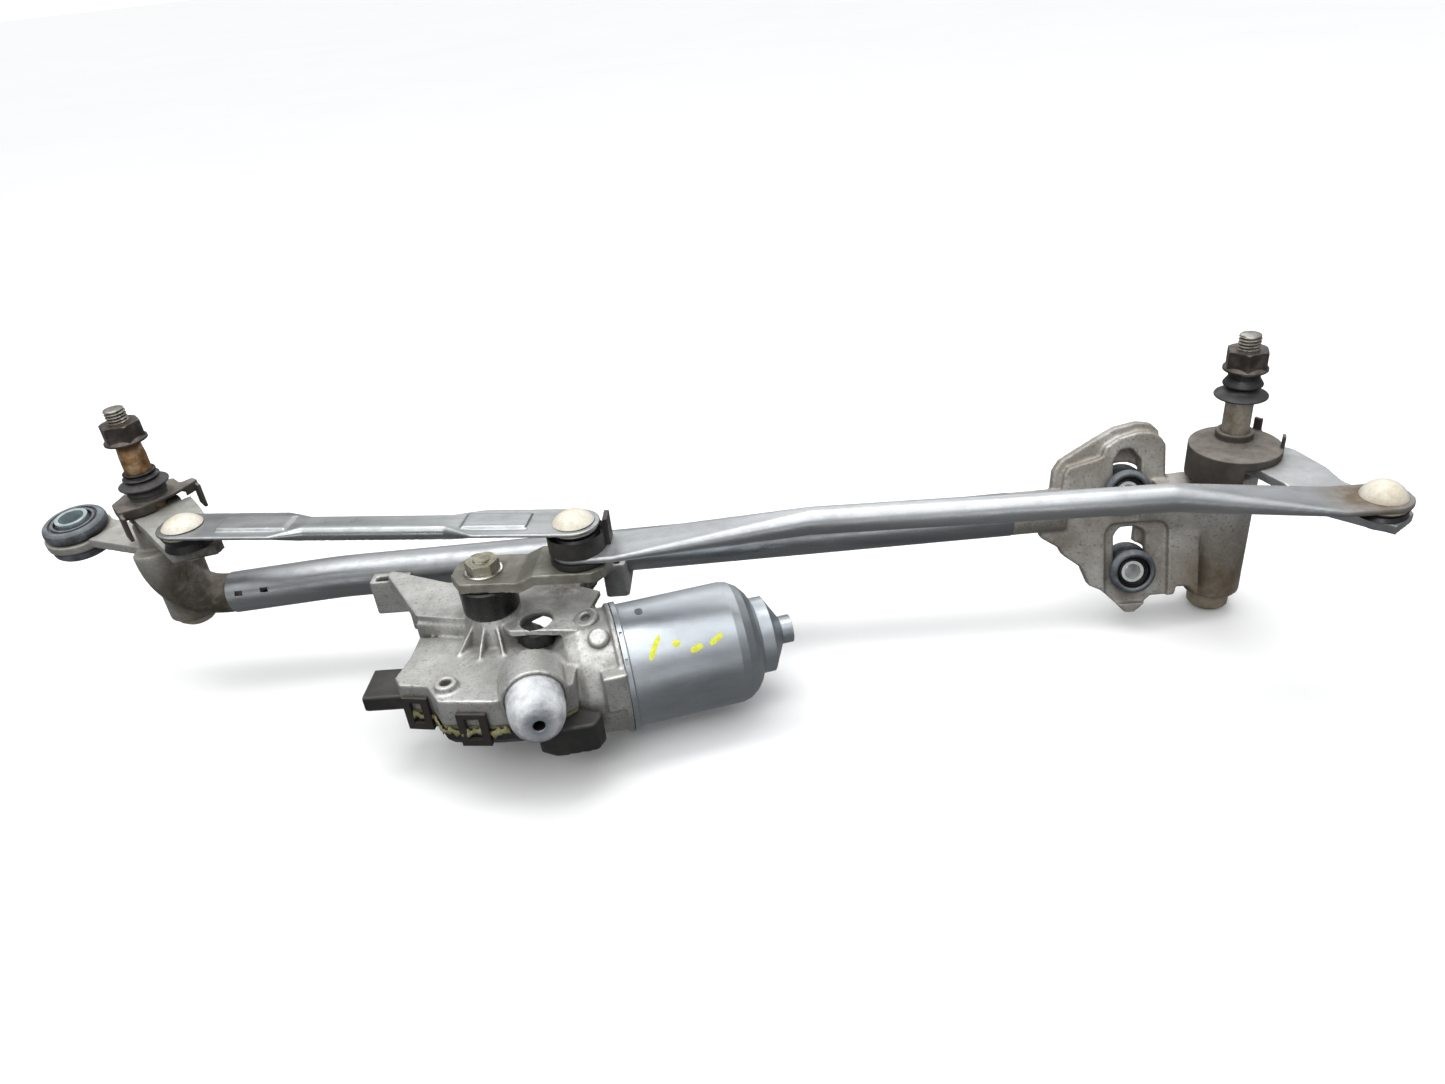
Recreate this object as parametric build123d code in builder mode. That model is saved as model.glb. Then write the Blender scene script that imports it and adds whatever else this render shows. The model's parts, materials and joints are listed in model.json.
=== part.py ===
"""Windshield wiper linkage: two pivot housings on a tube, gear motor, crank and two links.

Frame: +Z up along the left wiper shaft, +X towards the right wiper shaft, -Y towards the
engine side where the motor hangs. The origin is on the left shaft, on top of its nut.
"""
import os
from math import atan2, cos, degrees, radians, sin, sqrt

from build123d import *

os.makedirs("parts", exist_ok=True)

GAP = 0.3          # clearance between moving neighbours
FIT = 0.02         # clearance of assembled neighbours
RUN = 0.04         # radial running clearance of a shaft in its bush

# Wiper shafts. Heights named top, bottom and so on are along Z.
SHAFT_SPACING = 539.7
SHAFT_R = 6.25
THREAD_R = 5.0
NUT_THREAD_R = 4.7  # inside the nut
THREAD_OUT = 7.0   # thread above the nut
NUT_H = 10.0
BUSH_R = 8.0
BUSH_L = 14.0
LEVER_T = 4.5

# Linkage, in plan
MOTOR = (179.6, -58.0)
CRANK_PIN = (225.6, -60.0)
LEFT_BALL = (38.5, -42.3)
RIGHT_BALL = (574.5, -68.5)
BALL_R = 5.5
STUD_R = 4.0
CAP_R = 9.5
SEAL_R = 11.0
LINK_A_LEFT_TOP = -37.4   # left link's top face at its left end
LINK_A_CRANK_TOP = -41.5
LINK_A_T = 1.8
LINK_A_W = 24.0
LINK_B_TOP = -54.6        # right link's top face at its flat ends
LINK_B_T = 3.0
LINK_B_W = 24.0
RIGHT_BALL_LIFT = 1.1     # right ball's centre above its plate's underside

# Crank arm
ARM_T = 5.0
ARM_SHAFT_TOP = -65.0
ARM_PIN_TOP = -61.0
OUTPUT_R = 5.0

# Frame tube
TUBE_R = 11.0
TUBE_WALL = 1.5
SPIGOT_R = TUBE_R - TUBE_WALL - FIT
LEFT_ELBOW_END = (25.0, 0.0, -101.5)
TUBE_BEND = (85.0, 0.0, -96.8)
TUBE_END = (433.0, 0.0, -89.6)
DENTS = (32.0, 46.0)      # swaged marks over the left spigot

# Bracket of the right housing: its plane leans back at the top
BRACKET_AT = (490.0, 0.0, -94.5)
BRACKET_LEAN = 16.0
BRACKET_FRONT = 6.0
BRACKET_BACK = -1.0
BOLTS = {"upper": (0.3, 12.9), "lower": (3.1, -28.3)}   # along the tube and up the plate
SLEEVE_BORE_R = 4.0

# Gear motor
WORM_Z = -117.2
WHEEL_PITCH_R = 20.0
WORM_PITCH_R = 5.0
TEETH = 40
WORM_TURN = 15.0          # the motor's axis, turned from +X towards +Y
YOKE_R = 29.5
YOKE_START = 53.0         # along the worm axis, from its point nearest to the wheel
CASE_TOP = -98.0
CASE_BOTTOM = -112.0
CHAMBER_TOP = -111.6
HOLE_AT = (201.3, -67.6)  # hole through the case's web
SLOTS = (((-6.6, 12), (7, 12), (7.6, 28), (3, 34.5), (-3, 34), (-6, 28)),
         ((-5, -28), (10.6, -28), (10.6, -9), (6, -6), (-2, -6), (-5, -10)))
CASE_OUTLINE = [(142, -60), (141.4, -78), (138.5, -91), (142, -97), (155.5, -99.2),
                (163, -110.5), (187, -113), (212, -112), (222, -104), (222, -84),
                (196, -72), (180, -66), (160, -62)]
CHAMBER_R = 23.6
BELL = [(0, 18), (12, 18), (19, 24), (25, 29), (28, 35), (29.3, 42), (29.3, 50.4), (31, 50.4),
        (31, 53), (0, 53)]
COVER_LOBE = [(203, -112), (212, -116), (230, -113), (233, -106), (226, -95), (207, -90)]
HUB_AT = (206.2, -112.0, -99.4)
HUB_R = 14.8
RIB_ENDS = ((164.6, -77.6), (175.6, -82.6), (186.7, -80.1), (191.6, -69.6))
CLIP_WALLS = (((142.6, -97.1), (154.6, -99.05)), ((170.5, -111.28), (184.0, -112.69)))
NOTCH_TURNS = (117, 141.5, 297, 321.5)   # notches in the yoke's flange around the worm axis
LEFT_RING = (-56.6, 16.0, -67.5)
RING_TILT = 7.0

LEFT = dict(name="left", x=0.0, nut_top=0.0, lever_top=-46.5, case_top=-54.0,
            case_bottom=-110.5, case_r=13.0, cap_h=5.0, boot=(-26.0, -28.5, -33.0, -38.4),
            ball=LEFT_BALL, ball_top=-47.5, bend=30.0)
RIGHT = dict(name="right", x=SHAFT_SPACING, nut_top=-10.7, lever_top=-60.5, case_top=-72.3,
             case_bottom=-141.0, case_r=14.0, cap_h=11.0, boot=(-21.0, -27.0, -33.5, -36.0),
             ball=RIGHT_BALL, ball_top=-62.5, bend=40.0)
SIDES = (LEFT, RIGHT)

LEVER_PLANS = {
    "left": (13.0, [(8, -12), (61.7, -10.4), (70, 7.5), (66.4, 12), (20.8, 16.4), (5, 17)]),
    "right": (12.5, [(0, -12), (25, -11), (59, -15), (80, -8), (88.5, -5), (85.5, 10),
                     (80.5, 13), (52, 12), (19, 19), (0, 12)]),
}

WORM_DIR = (cos(radians(WORM_TURN)), sin(radians(WORM_TURN)), 0)
WORM_SIDE = (sin(radians(WORM_TURN)), -cos(radians(WORM_TURN)), 0)
CENTRES = WHEEL_PITCH_R + WORM_PITCH_R
WORM_FOOT = (MOTOR[0] + CENTRES * WORM_SIDE[0], MOTOR[1] + CENTRES * WORM_SIDE[1], WORM_Z)


def save(built, name):
    built.part.label = name
    export_step(built.part, f"parts/{name}.step")


def direction(start, end):
    """Unit vector and length from one plan point to another."""
    dx = end[0] - start[0]
    dy = end[1] - start[1]
    length = sqrt(dx * dx + dy * dy)
    return dx / length, dy / length, length


def plan_plane(start, end, z):
    """Horizontal plane on start, with its x towards end."""
    ux, uy, _ = direction(start, end)
    return Plane(origin=(*start, z), x_dir=(ux, uy, 0), z_dir=(0, 0, 1))


def worm_plane(distance):
    """Plane across the worm axis, x to the tube side and y up."""
    origin = [WORM_FOOT[i] + distance * WORM_DIR[i] for i in range(3)]
    return Plane(origin=tuple(origin), x_dir=(-WORM_SIDE[0], -WORM_SIDE[1], 0), z_dir=WORM_DIR)


def bracket_plane(u=0.0, w=0.0, off=0.0):
    """Plane on the bracket, x along the tube, y up the plate and z out of its front."""
    lean = radians(BRACKET_LEAN)
    normal = (0, -cos(lean), sin(lean))
    up = (0, sin(lean), cos(lean))
    origin = [BRACKET_AT[i] + w * up[i] + off * normal[i] for i in range(3)]
    origin[0] += u
    return Plane(origin=tuple(origin), x_dir=(1, 0, 0), z_dir=normal)


def turn(points, plane, mode=Mode.ADD):
    """Solid of revolution about the plane's y axis from (radius, height) points."""
    with BuildSketch(plane) as outline:
        with BuildLine():
            Polyline(*points, close=True)
        make_face()
    revolve(outline.sketch, axis=Axis(plane.origin, plane.y_dir), mode=mode)


def turn_up(points, at, mode=Mode.ADD):
    """The same about a vertical axis, with heights as Z."""
    turn(points, Plane(origin=(at[0], at[1], 0), x_dir=(1, 0, 0), z_dir=(0, -1, 0)), mode)


def turn_on_worm(points, mode=Mode.ADD):
    """The same about the worm axis, with distances along it."""
    turn(points, Plane(origin=WORM_FOOT, x_dir=WORM_SIDE, z_dir=(0, 0, 1)), mode)


def disc(at, radius, low, high, mode=Mode.ADD):
    """Upright cylinder between two heights."""
    with Locations((at[0], at[1], (low + high) / 2)):
        Cylinder(radius, high - low, mode=mode)


def drum(plane, radius, low, high, mode=Mode.ADD):
    """Cylinder along a plane's normal between two distances from it."""
    with BuildSketch(plane.offset(low)) as circle:
        Circle(radius)
    extrude(circle.sketch, amount=high - low, mode=mode)


def slab(points, low, high, plane=Plane.XY, mode=Mode.ADD, corner=0):
    """Polygon on a plane, extruded between two distances from it."""
    with BuildSketch(plane.offset(low)) as outline:
        with BuildLine():
            Polyline(*points, close=True)
        make_face()
        if corner:
            fillet(outline.vertices(), corner)
    extrude(outline.sketch, amount=high - low, mode=mode)


# ------------------------------------------------------------ wiper shafts and levers
def make_spindle(side):
    top = side["nut_top"]
    groove = side["case_bottom"] - 2.0
    with BuildPart() as spindle:
        turn_up([(0, top + THREAD_OUT), (THREAD_R - 0.4, top + THREAD_OUT),
                 (THREAD_R, top + THREAD_OUT - 0.4), (THREAD_R, top), (NUT_THREAD_R, top),
                 (NUT_THREAD_R, top - NUT_H - 1), (5.6, top - NUT_H - 1),
                 (SHAFT_R, top - NUT_H - 8), (SHAFT_R, groove), (5.4, groove), (5.4, groove - 1.0), (SHAFT_R, groove - 1.0),
                 (SHAFT_R - 0.5, groove - 1.6), (0, groove - 1.6)], (side["x"], 0))
    save(spindle, side["name"] + "_spindle")


def make_arm_nut(side):
    top = side["nut_top"] - 0.15
    low = side["nut_top"] - NUT_H
    at = (side["x"], 0)
    with BuildPart() as nut:
        with BuildSketch(Plane.XY.offset(low + 1.0)):
            with Locations(at):
                RegularPolygon(8.4, 6, major_radius=False, rotation=12)
        extrude(amount=top - low - 1.0)
        turn_up([(0, low), (10.0, low), (10.0, low + 0.9), (8.2, low + 2.6), (0, low + 2.6)], at)
        turn_up([(8.6, top + 0.1), (11, top + 0.1), (11, top - 1.4)], at, Mode.SUBTRACT)
        disc(at, NUT_THREAD_R + FIT, low - 1, top + 1, Mode.SUBTRACT)
        turn_up([(0, low - 0.1), (6.0, low - 0.1), (NUT_THREAD_R, low + 1), (0, low + 1)], at,
                Mode.SUBTRACT)
    save(nut, side["name"] + "_arm_nut")


def make_shaft_boot(side):
    top, ring, flange, foot = side["boot"]
    inner = SHAFT_R + FIT
    with BuildPart() as boot:
        turn_up([(inner, top), (7.6, top), (7.6, ring + 1.6), (9.0, ring), (7.6, ring - 1.2),
                 (7.6, flange + 2.0), (12.0, flange + 0.4), (12.0, flange - 0.6),
                 (8.4, flange - 1.0), (7.6, foot), (inner, foot)], (side["x"], 0))
    save(boot, side["name"] + "_shaft_boot")


def make_spindle_bushes(side):
    """Both sintered bushes of a housing, as two separate rings."""
    at = (side["x"], 0)
    with BuildPart() as bushes:
        for low in (side["case_top"] - 1.0 - BUSH_L, side["case_bottom"] + 3.2):
            disc(at, BUSH_R - FIT, low, low + BUSH_L)
            disc(at, SHAFT_R + RUN, low, low + BUSH_L, Mode.SUBTRACT)
    save(bushes, side["name"] + "_spindle_bushes")


def make_spindle_stops(side):
    """Thrust washer over the housing and circlip under it, which hold the spindle in."""
    low = side["case_top"] + 0.15
    high = side["lever_top"] - LEVER_T - FIT
    middle = side["case_bottom"] - 2.5
    at = (side["x"], 0)
    with BuildPart() as stops:
        disc(at, 7.6, middle - 0.45, middle + 0.45)
        disc(at, 5.4 + FIT, middle - 0.45, middle + 0.45, Mode.SUBTRACT)
        with Locations((side["x"], -8, middle)):
            Box(4.0, 8.0, 2.0, mode=Mode.SUBTRACT)
        disc(at, 9.0, low, high)
        disc(at, SHAFT_R + FIT, low, high, Mode.SUBTRACT)
    save(stops, side["name"] + "_spindle_stops")


def make_end_cap(side):
    rim = side["case_bottom"]
    low = rim - side["cap_h"]
    with BuildPart() as cap:
        turn_up([(7.0, rim + 3.0), (BUSH_R - FIT, rim + 3.0), (BUSH_R - FIT, rim - FIT),
                 (10.4, rim - FIT), (10.0, low + 2.2), (7.6, low), (0, low), (0, low + 1.2),
                 (7.0, low + 1.2), (8.4, low + 2.4), (8.4, rim - 1.0), (7.0, rim - 0.8)],
                (side["x"], 0))
    save(cap, side["name"] + "_end_cap")


def make_lever(side, hub_r, outline):
    """Pressed lever: hub plate, a step in height and the plate under the ball."""
    hub = (side["x"], 0)
    ux, uy, reach = direction(hub, side["ball"])
    high = side["lever_top"]
    low = side["ball_top"]
    bend = side["bend"]
    profile = [(-20, high), (bend, high), (bend + 9, low), (reach + 20, low),
               (reach + 20, low - LEVER_T), (bend + 8, low - LEVER_T), (bend - 1, high - LEVER_T),
               (-20, high - LEVER_T)]
    side_view = Plane(origin=(*hub, 0), x_dir=(ux, uy, 0), z_dir=(uy, -ux, 0))
    with BuildPart() as lever:
        slab(profile, -30, 30, side_view)
        with BuildSketch(plan_plane(hub, side["ball"], low - 10)) as plan:
            with BuildLine():
                Polyline(*outline, close=True)
            make_face()
            Circle(hub_r)
        extrude(plan.sketch, amount=30, mode=Mode.INTERSECT)
        disc(hub, SHAFT_R + FIT, low - 10, high + 10, Mode.SUBTRACT)
        disc(side["ball"], STUD_R + FIT, low - 10, high + 10, Mode.SUBTRACT)
    save(lever, side["name"] + "_lever")


def make_lever_stud(side):
    """Riveted foot of the ball stud; its ball rides in the link's socket."""
    top = side["ball_top"]
    low = top - LEVER_T
    with BuildPart() as stud:
        turn_up([(0, top), (STUD_R, top), (STUD_R, low - FIT), (6.5, low - FIT),
                 (5.6, low - 1.8), (0, low - 2.2)], side["ball"])
    save(stud, side["name"] + "_lever_stud")


def make_left_cover():
    """Shield over the left lever's hub: a plate, a short skirt and two legs."""
    top = -40.8
    floor = -46.1
    outline = [(8, -17.4), (10.5, -7), (10, 0), (8, 9), (4.5, 17), (1, 23.6), (-4, 22.5), (-3, 16),
               (-12, 15.5), (-16, 6), (-14, -8), (-5, -17)]
    plane = plan_plane((0, 0), LEFT_BALL, 0)
    with BuildPart() as cover:
        slab(outline, floor, top, plane, corner=1.4)
        with BuildSketch(plane.offset(floor)) as hollow:
            with BuildLine():
                Polyline(*outline, close=True)
            make_face()
            fillet(hollow.vertices(), 1.4)
            offset(hollow.sketch, amount=-1.6, mode=Mode.REPLACE)
        extrude(hollow.sketch, amount=top - floor - 1.8, mode=Mode.SUBTRACT)
        for along, across in ((9, -16.5), (0, 22.6)):
            with Locations(plane.offset(-49).location * Location((along, across, 0))):
                Box(9.0, 1.8, 13.0)
        disc((0, 0), 8.8, top - 1.8, top + 2.2)
        disc((0, 0), SHAFT_R + FIT, -60, top + 5, Mode.SUBTRACT)
    save(cover, "left_lever_cover")


def make_right_cover():
    """Shield over the right lever's hub: a skirt that is deep on one side, two tabs."""
    top = -56.0
    skirt = -72.0
    lever_way = -60.3
    axis = (SHAFT_SPACING, 0)
    centre = (SHAFT_SPACING - 2, -7)
    radius = 21.0
    with BuildPart() as cover:
        disc(centre, radius, skirt, top)
        disc(centre, radius - 1.8, skirt - 1, top - 2, Mode.SUBTRACT)
        with Locations((centre[0] + 19, centre[1], lever_way - 10)):
            Box(44, 60, 20, mode=Mode.SUBTRACT)
        disc(axis, 8.6, top - 2, top + 4)
        disc(axis, SHAFT_R + FIT, skirt, top + 5, Mode.SUBTRACT)
        for bearing in (-24, 40):
            edge = radians(bearing)
            at = (centre[0] + (radius - 0.9) * cos(edge), centre[1] + (radius - 0.9) * sin(edge))
            with Locations(Location((*at, top + 2), (0, 0, bearing))):
                Box(1.6, 4.0, 9.0)
    save(cover, "right_lever_cover")


# ------------------------------------------------------------ links and ball joints
def link_plane(s=0.0):
    """Plane across the left link, s along it from its left ball, x sideways and y up."""
    ux, uy, length = direction(LEFT_BALL, CRANK_PIN)
    slope = (LINK_A_CRANK_TOP - LINK_A_LEFT_TOP) / length
    run = 1 / sqrt(1 + slope * slope)
    ahead = (ux * run, uy * run, slope * run)
    origin = (LEFT_BALL[0] + s * ahead[0], LEFT_BALL[1] + s * ahead[1],
              LINK_A_LEFT_TOP + s * ahead[2])
    return Plane(origin=origin, x_dir=(-uy, ux, 0), z_dir=ahead)


def link_b_plane(s=0.0):
    """The same for the right link, from the crank pin."""
    ux, uy, _ = direction(CRANK_PIN, RIGHT_BALL)
    origin = (CRANK_PIN[0] + s * ux, CRANK_PIN[1] + s * uy, LINK_B_TOP)
    return Plane(origin=origin, x_dir=(-uy, ux, 0), z_dir=(ux, uy, 0))


def section(plane, width, height, corner, top=0.0):
    """Rounded rectangle hung under the plane's x axis."""
    with BuildSketch(plane) as shape:
        with Locations((0, top - height / 2)):
            RectangleRounded(width, height, corner)
    return shape.sketch


def make_left_link():
    """Pressed strip link: flat ends with a raised pad, an upturned channel between."""
    _, _, length = direction(LEFT_BALL, CRANK_PIN)
    mid_start = 62.0
    mid_end = length - 58.0
    flat = (LINK_A_W, LINK_A_T, 0.6)
    channel = (15.0, 7.6, 3.75, 1.2)
    with BuildPart() as link:
        for start, end in ((0.0, mid_start - 14), (mid_end + 14, length)):
            extrude(section(link_plane(start), *flat), amount=end - start)
        for s in (0.0, length):
            plane = link_plane(s)
            with Locations(plane.location * Location((0, -LINK_A_T / 2, 0), (90, 0, 0))):
                Cylinder(LINK_A_W / 2, LINK_A_T)
        loft([section(link_plane(mid_start - 14), *flat),
              section(link_plane(mid_start), *channel)])
        extrude(section(link_plane(mid_start), *channel), amount=mid_end - mid_start)
        loft([section(link_plane(mid_end), *channel),
              section(link_plane(mid_end + 14), *flat)])
        for start, end in ((20.0, mid_start - 8), (mid_end + 8, length - 20)):
            extrude(section(link_plane(start), 13.0, 2.2, 0.9, 1.5), amount=end - start)
        extrude(section(link_plane(mid_start - 2), 11.6, 6.6, 2.0, -0.9),
                amount=mid_end - mid_start + 4, mode=Mode.SUBTRACT)
        extrude(section(link_plane(mid_start - 2), 11.6, 6.0, 0.5, -4.0),
                amount=mid_end - mid_start + 4, mode=Mode.SUBTRACT)
        for at in (LEFT_BALL, CRANK_PIN):
            disc(at, 8.4 + FIT, -60, -30, Mode.SUBTRACT)
    save(link, "left_link")


def make_right_link():
    """Round tube pressed flat at both ends."""
    _, _, length = direction(CRANK_PIN, RIGHT_BALL)
    tube_r = 6.3
    tube_start = 105.0
    tube_end = length - 88.0
    flat = (LINK_B_W, LINK_B_T, 1.0)
    with BuildPart() as link:
        for start, end in ((0.0, 17.0), (length - 20.0, length)):
            extrude(section(link_b_plane(start), *flat), amount=end - start)
        for at in (CRANK_PIN, RIGHT_BALL):
            disc(at, LINK_B_W / 2, LINK_B_TOP - LINK_B_T, LINK_B_TOP)
        barrel = (2 * tube_r, 2 * tube_r, tube_r - 0.01, 11.8)
        loft([section(link_b_plane(17.0), *flat),
              section(link_b_plane(tube_start), *barrel)])
        extrude(section(link_b_plane(tube_start), *barrel), amount=tube_end - tube_start)
        loft([section(link_b_plane(tube_end), *barrel),
              section(link_b_plane(length - 20.0), *flat)])
        bore = (2 * tube_r - 2.6, 2 * tube_r - 2.6, tube_r - 1.31, 10.5)
        extrude(section(link_b_plane(tube_start), *bore), amount=tube_end - tube_start,
                mode=Mode.SUBTRACT)
        drain = link_b_plane(tube_start + 20).origin
        disc((drain.X, drain.Y), 1.5, LINK_B_TOP - 3, LINK_B_TOP + 4, Mode.SUBTRACT)
        disc(CRANK_PIN, 9.0 + FIT, -70, -50, Mode.SUBTRACT)
        disc(RIGHT_BALL, 8.4 + FIT, -70, -50, Mode.SUBTRACT)
    save(link, "right_link")


def add_socket(at, plate_top, plate_t, slack=FIT, lift=-0.3, dome=4.8):
    """White ball socket snapped through a link's plate, domed above it."""
    under = plate_top - plate_t
    ball_z = under + lift
    with BuildSketch(Plane(origin=(*at, 0), x_dir=(1, 0, 0), z_dir=(0, -1, 0))) as half:
        with BuildLine():
            Line((0, under - 3.8), (0, plate_top + dome))
            ThreePointArc((0, plate_top + dome), (CAP_R * 0.62, plate_top + 0.73 * dome),
                          (CAP_R, plate_top + slack))
            Polyline((CAP_R, plate_top + slack), (8.4, plate_top + slack), (8.4, under - slack),
                     (10.4, under - slack), (10.4, under - 1.4), (7.4, under - 1.4),
                     (7.4, under - 3.8), (0, under - 3.8))
        make_face()
    revolve(half.sketch, axis=Axis((*at, 0), (0, 0, 1)))
    with Locations((*at, ball_z)):
        Sphere(BALL_R + 0.1, mode=Mode.SUBTRACT)
    disc(at, 4.5, under - 5, ball_z, Mode.SUBTRACT)


def add_seal(at, plate_under, foot):
    """Rubber dust seal between a socket's flange and the piece below it."""
    top = plate_under - 1.4 - FIT
    low = foot + GAP
    waist = (top + low) / 2
    lip = min(waist, plate_under - 4.1)
    turn_up([(7.5, top), (SEAL_R, top), (SEAL_R - 1.2, waist), (SEAL_R, low), (5.0, low),
             (5.0, lip), (7.5, lip)], at)


def make_left_link_ends():
    """The left link's two sockets and two seals, at its lever and at the crank."""
    left_under = LINK_A_LEFT_TOP - LINK_A_T
    crank_under = LINK_A_CRANK_TOP - LINK_A_T
    with BuildPart() as sockets:
        add_socket(LEFT_BALL, LINK_A_LEFT_TOP, LINK_A_T, 0.25)
        add_socket(CRANK_PIN, LINK_A_CRANK_TOP, LINK_A_T, 0.25)
    save(sockets, "left_link_sockets")
    with BuildPart() as seals:
        add_seal(LEFT_BALL, left_under, LEFT["ball_top"])
        add_seal(CRANK_PIN, crank_under, -48.6)
    save(seals, "left_link_seals")


def make_right_link_end():
    """Socket and seal of the right link at its lever."""
    with BuildPart() as socket:
        add_socket(RIGHT_BALL, LINK_B_TOP, LINK_B_T, FIT, RIGHT_BALL_LIFT, 7.0)
    save(socket, "right_link_socket")
    with BuildPart() as seal:
        add_seal(RIGHT_BALL, LINK_B_TOP - LINK_B_T, RIGHT["ball_top"])
    save(seal, "right_link_seal")


def make_captive_ball(name, at, ball_z, foot):
    """Ball and neck that ride in the socket, down to just above the lever."""
    with BuildPart() as ball:
        with Locations((*at, ball_z)):
            Sphere(BALL_R)
        if ball_z - BALL_R > foot + GAP:
            disc(at, 3.5, foot + GAP, ball_z)
    save(ball, name)


def make_crank_socket():
    """Black lower socket on the crank pin, with the right link's end in its groove."""
    top = -48.6
    low = ARM_PIN_TOP + GAP
    plate_low = LINK_B_TOP - LINK_B_T
    ball_z = -54.6
    with BuildPart() as socket:
        turn_up([(0, low), (12.6, low), (13.2, low + 1.0), (13.2, plate_low - FIT),
                 (9.0, plate_low - FIT), (9.0, LINK_B_TOP + FIT), (13.2, LINK_B_TOP + FIT),
                 (13.2, top + 2.6), (11.6, top + 1.2), (11.6, top), (0, top)], CRANK_PIN)
        with Locations(Location((CRANK_PIN[0] + 14.0, CRANK_PIN[1] + 4.0, LINK_B_TOP + 6.5))):
            Box(2.2, 9.0, 12.9)
        with Locations((*CRANK_PIN, ball_z)):
            Sphere(6.6, mode=Mode.SUBTRACT)
        disc(CRANK_PIN, 4.4, low - 1, top + 1, Mode.SUBTRACT)
    save(socket, "crank_lower_socket")


def make_crank_stud():
    """Double ball stud riveted into the crank arm."""
    foot = ARM_PIN_TOP - ARM_T
    upper_ball = LINK_A_CRANK_TOP - LINK_A_T - 0.3
    with BuildPart() as stud:
        turn_up([(0, ARM_PIN_TOP + 0.2), (STUD_R + 1, ARM_PIN_TOP + 0.2), (STUD_R + 1, foot - FIT),
                 (7.0, foot - FIT), (6.0, foot - 2.0), (0, foot - 2.4)], CRANK_PIN)
        disc(CRANK_PIN, 3.5, ARM_PIN_TOP, upper_ball)
        with Locations((*CRANK_PIN, -54.6)):
            Sphere(6.5)
        with Locations((*CRANK_PIN, upper_ball)):
            Sphere(BALL_R)
    save(stud, "crank_ball_stud")


# ------------------------------------------------------------ crank and output shaft
def make_crank_arm():
    """Pressed arm with a step up to its pin end."""
    _, _, reach = direction(MOTOR, CRANK_PIN)
    low = ARM_SHAFT_TOP
    high = ARM_PIN_TOP
    profile = [(-20, low), (18, low), (26, high), (70, high), (70, high - ARM_T), (27, high - ARM_T),
               (19, low - ARM_T), (-20, low - ARM_T)]
    outline = [(-15, -3), (-9, -11.5), (12, -12), (22, -13.5), (53, -13.5), (58.5, -9),
               (58.5, 9), (53, 13.5), (21, 13.5), (9, 14), (-9, 14), (-15, 7)]
    ux, uy, _ = direction(MOTOR, CRANK_PIN)
    side_view = Plane(origin=(*MOTOR, 0), x_dir=(ux, uy, 0), z_dir=(uy, -ux, 0))
    with BuildPart() as arm:
        slab(profile, -30, 30, side_view)
        slab(outline, -80, -50, plan_plane(MOTOR, CRANK_PIN, 0), Mode.INTERSECT)
        disc(MOTOR, OUTPUT_R + FIT, -80, -50, Mode.SUBTRACT)
        disc((MOTOR[0] + reach * ux, MOTOR[1] + reach * uy), STUD_R + 1 + FIT, -80, -50,
             Mode.SUBTRACT)
    save(arm, "crank_arm")


def make_crank_nut_and_washer():
    seat = ARM_SHAFT_TOP + FIT
    with BuildPart() as nut:
        disc(MOTOR, 8.4, seat, seat + 1.2)
        disc(MOTOR, OUTPUT_R + FIT, seat, seat + 1.2, Mode.SUBTRACT)
        with BuildSketch(Plane.XY.offset(seat + 1.2 + FIT)):
            with Locations(MOTOR):
                RegularPolygon(6.9, 6, major_radius=False, rotation=10)
        extrude(amount=4.6)
        turn_up([(7.0, seat + 6), (9, seat + 6), (9, seat + 4.8)], MOTOR, Mode.SUBTRACT)
        disc(MOTOR, OUTPUT_R - 1 + FIT, seat + 1.2, seat + 8, Mode.SUBTRACT)
    save(nut, "crank_nut")


def make_output_shaft():
    nut_seat = ARM_SHAFT_TOP + 1.2
    foot = WORM_Z - 4.4
    with BuildPart() as shaft:
        turn_up([(0, nut_seat + 5.2), (OUTPUT_R - 1.6, nut_seat + 5.2), (OUTPUT_R - 1, nut_seat + 4.7),
                 (OUTPUT_R - 1, nut_seat), (OUTPUT_R, nut_seat - 0.2), (OUTPUT_R, foot), (0, foot)],
                MOTOR)
    save(shaft, "output_shaft")


def make_worm_wheel():
    """Moulded wheel on the output shaft; its teeth stop just short of the worm's."""
    half = 3.2
    root = WHEEL_PITCH_R - 1.6
    tip = WHEEL_PITCH_R - 0.6
    with BuildPart() as wheel:
        with BuildSketch(Plane.XY.offset(WORM_Z - half)):
            with Locations(MOTOR):
                Circle(root)
                with PolarLocations((root + tip) / 2, TEETH):
                    Trapezoid(1.9, tip - root + 0.4, 75, rotation=-90)
        extrude(amount=2 * half)
        disc(MOTOR, 15.5, WORM_Z + 1.4, WORM_Z + half + 1, Mode.SUBTRACT)
        disc(MOTOR, 8.0, WORM_Z - half, WORM_Z + half)
        disc(MOTOR, OUTPUT_R + FIT, WORM_Z - 10, WORM_Z + 10, Mode.SUBTRACT)
    save(wheel, "worm_wheel")


# ------------------------------------------------------------ gear motor, fixed pieces
def case_sketch(height, grow):
    """Plan outline of the gear case, grown or shrunk."""
    with BuildSketch(Plane.XY.offset(height)) as outline:
        with BuildLine():
            Polyline(*CASE_OUTLINE, close=True)
        make_face()
        with Locations(MOTOR):
            Circle(CHAMBER_R)
        if grow:
            offset(amount=grow, kind=Kind.INTERSECTION)
    return outline.sketch


def hub_plane(distance=0.0):
    """Plane on the face of the rubber mount's ring, z out of it."""
    origin = [HUB_AT[i] + distance * WORM_SIDE[i] for i in range(3)]
    return Plane(origin=tuple(origin), x_dir=(-WORM_DIR[0], -WORM_DIR[1], 0), z_dir=WORM_SIDE)


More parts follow.
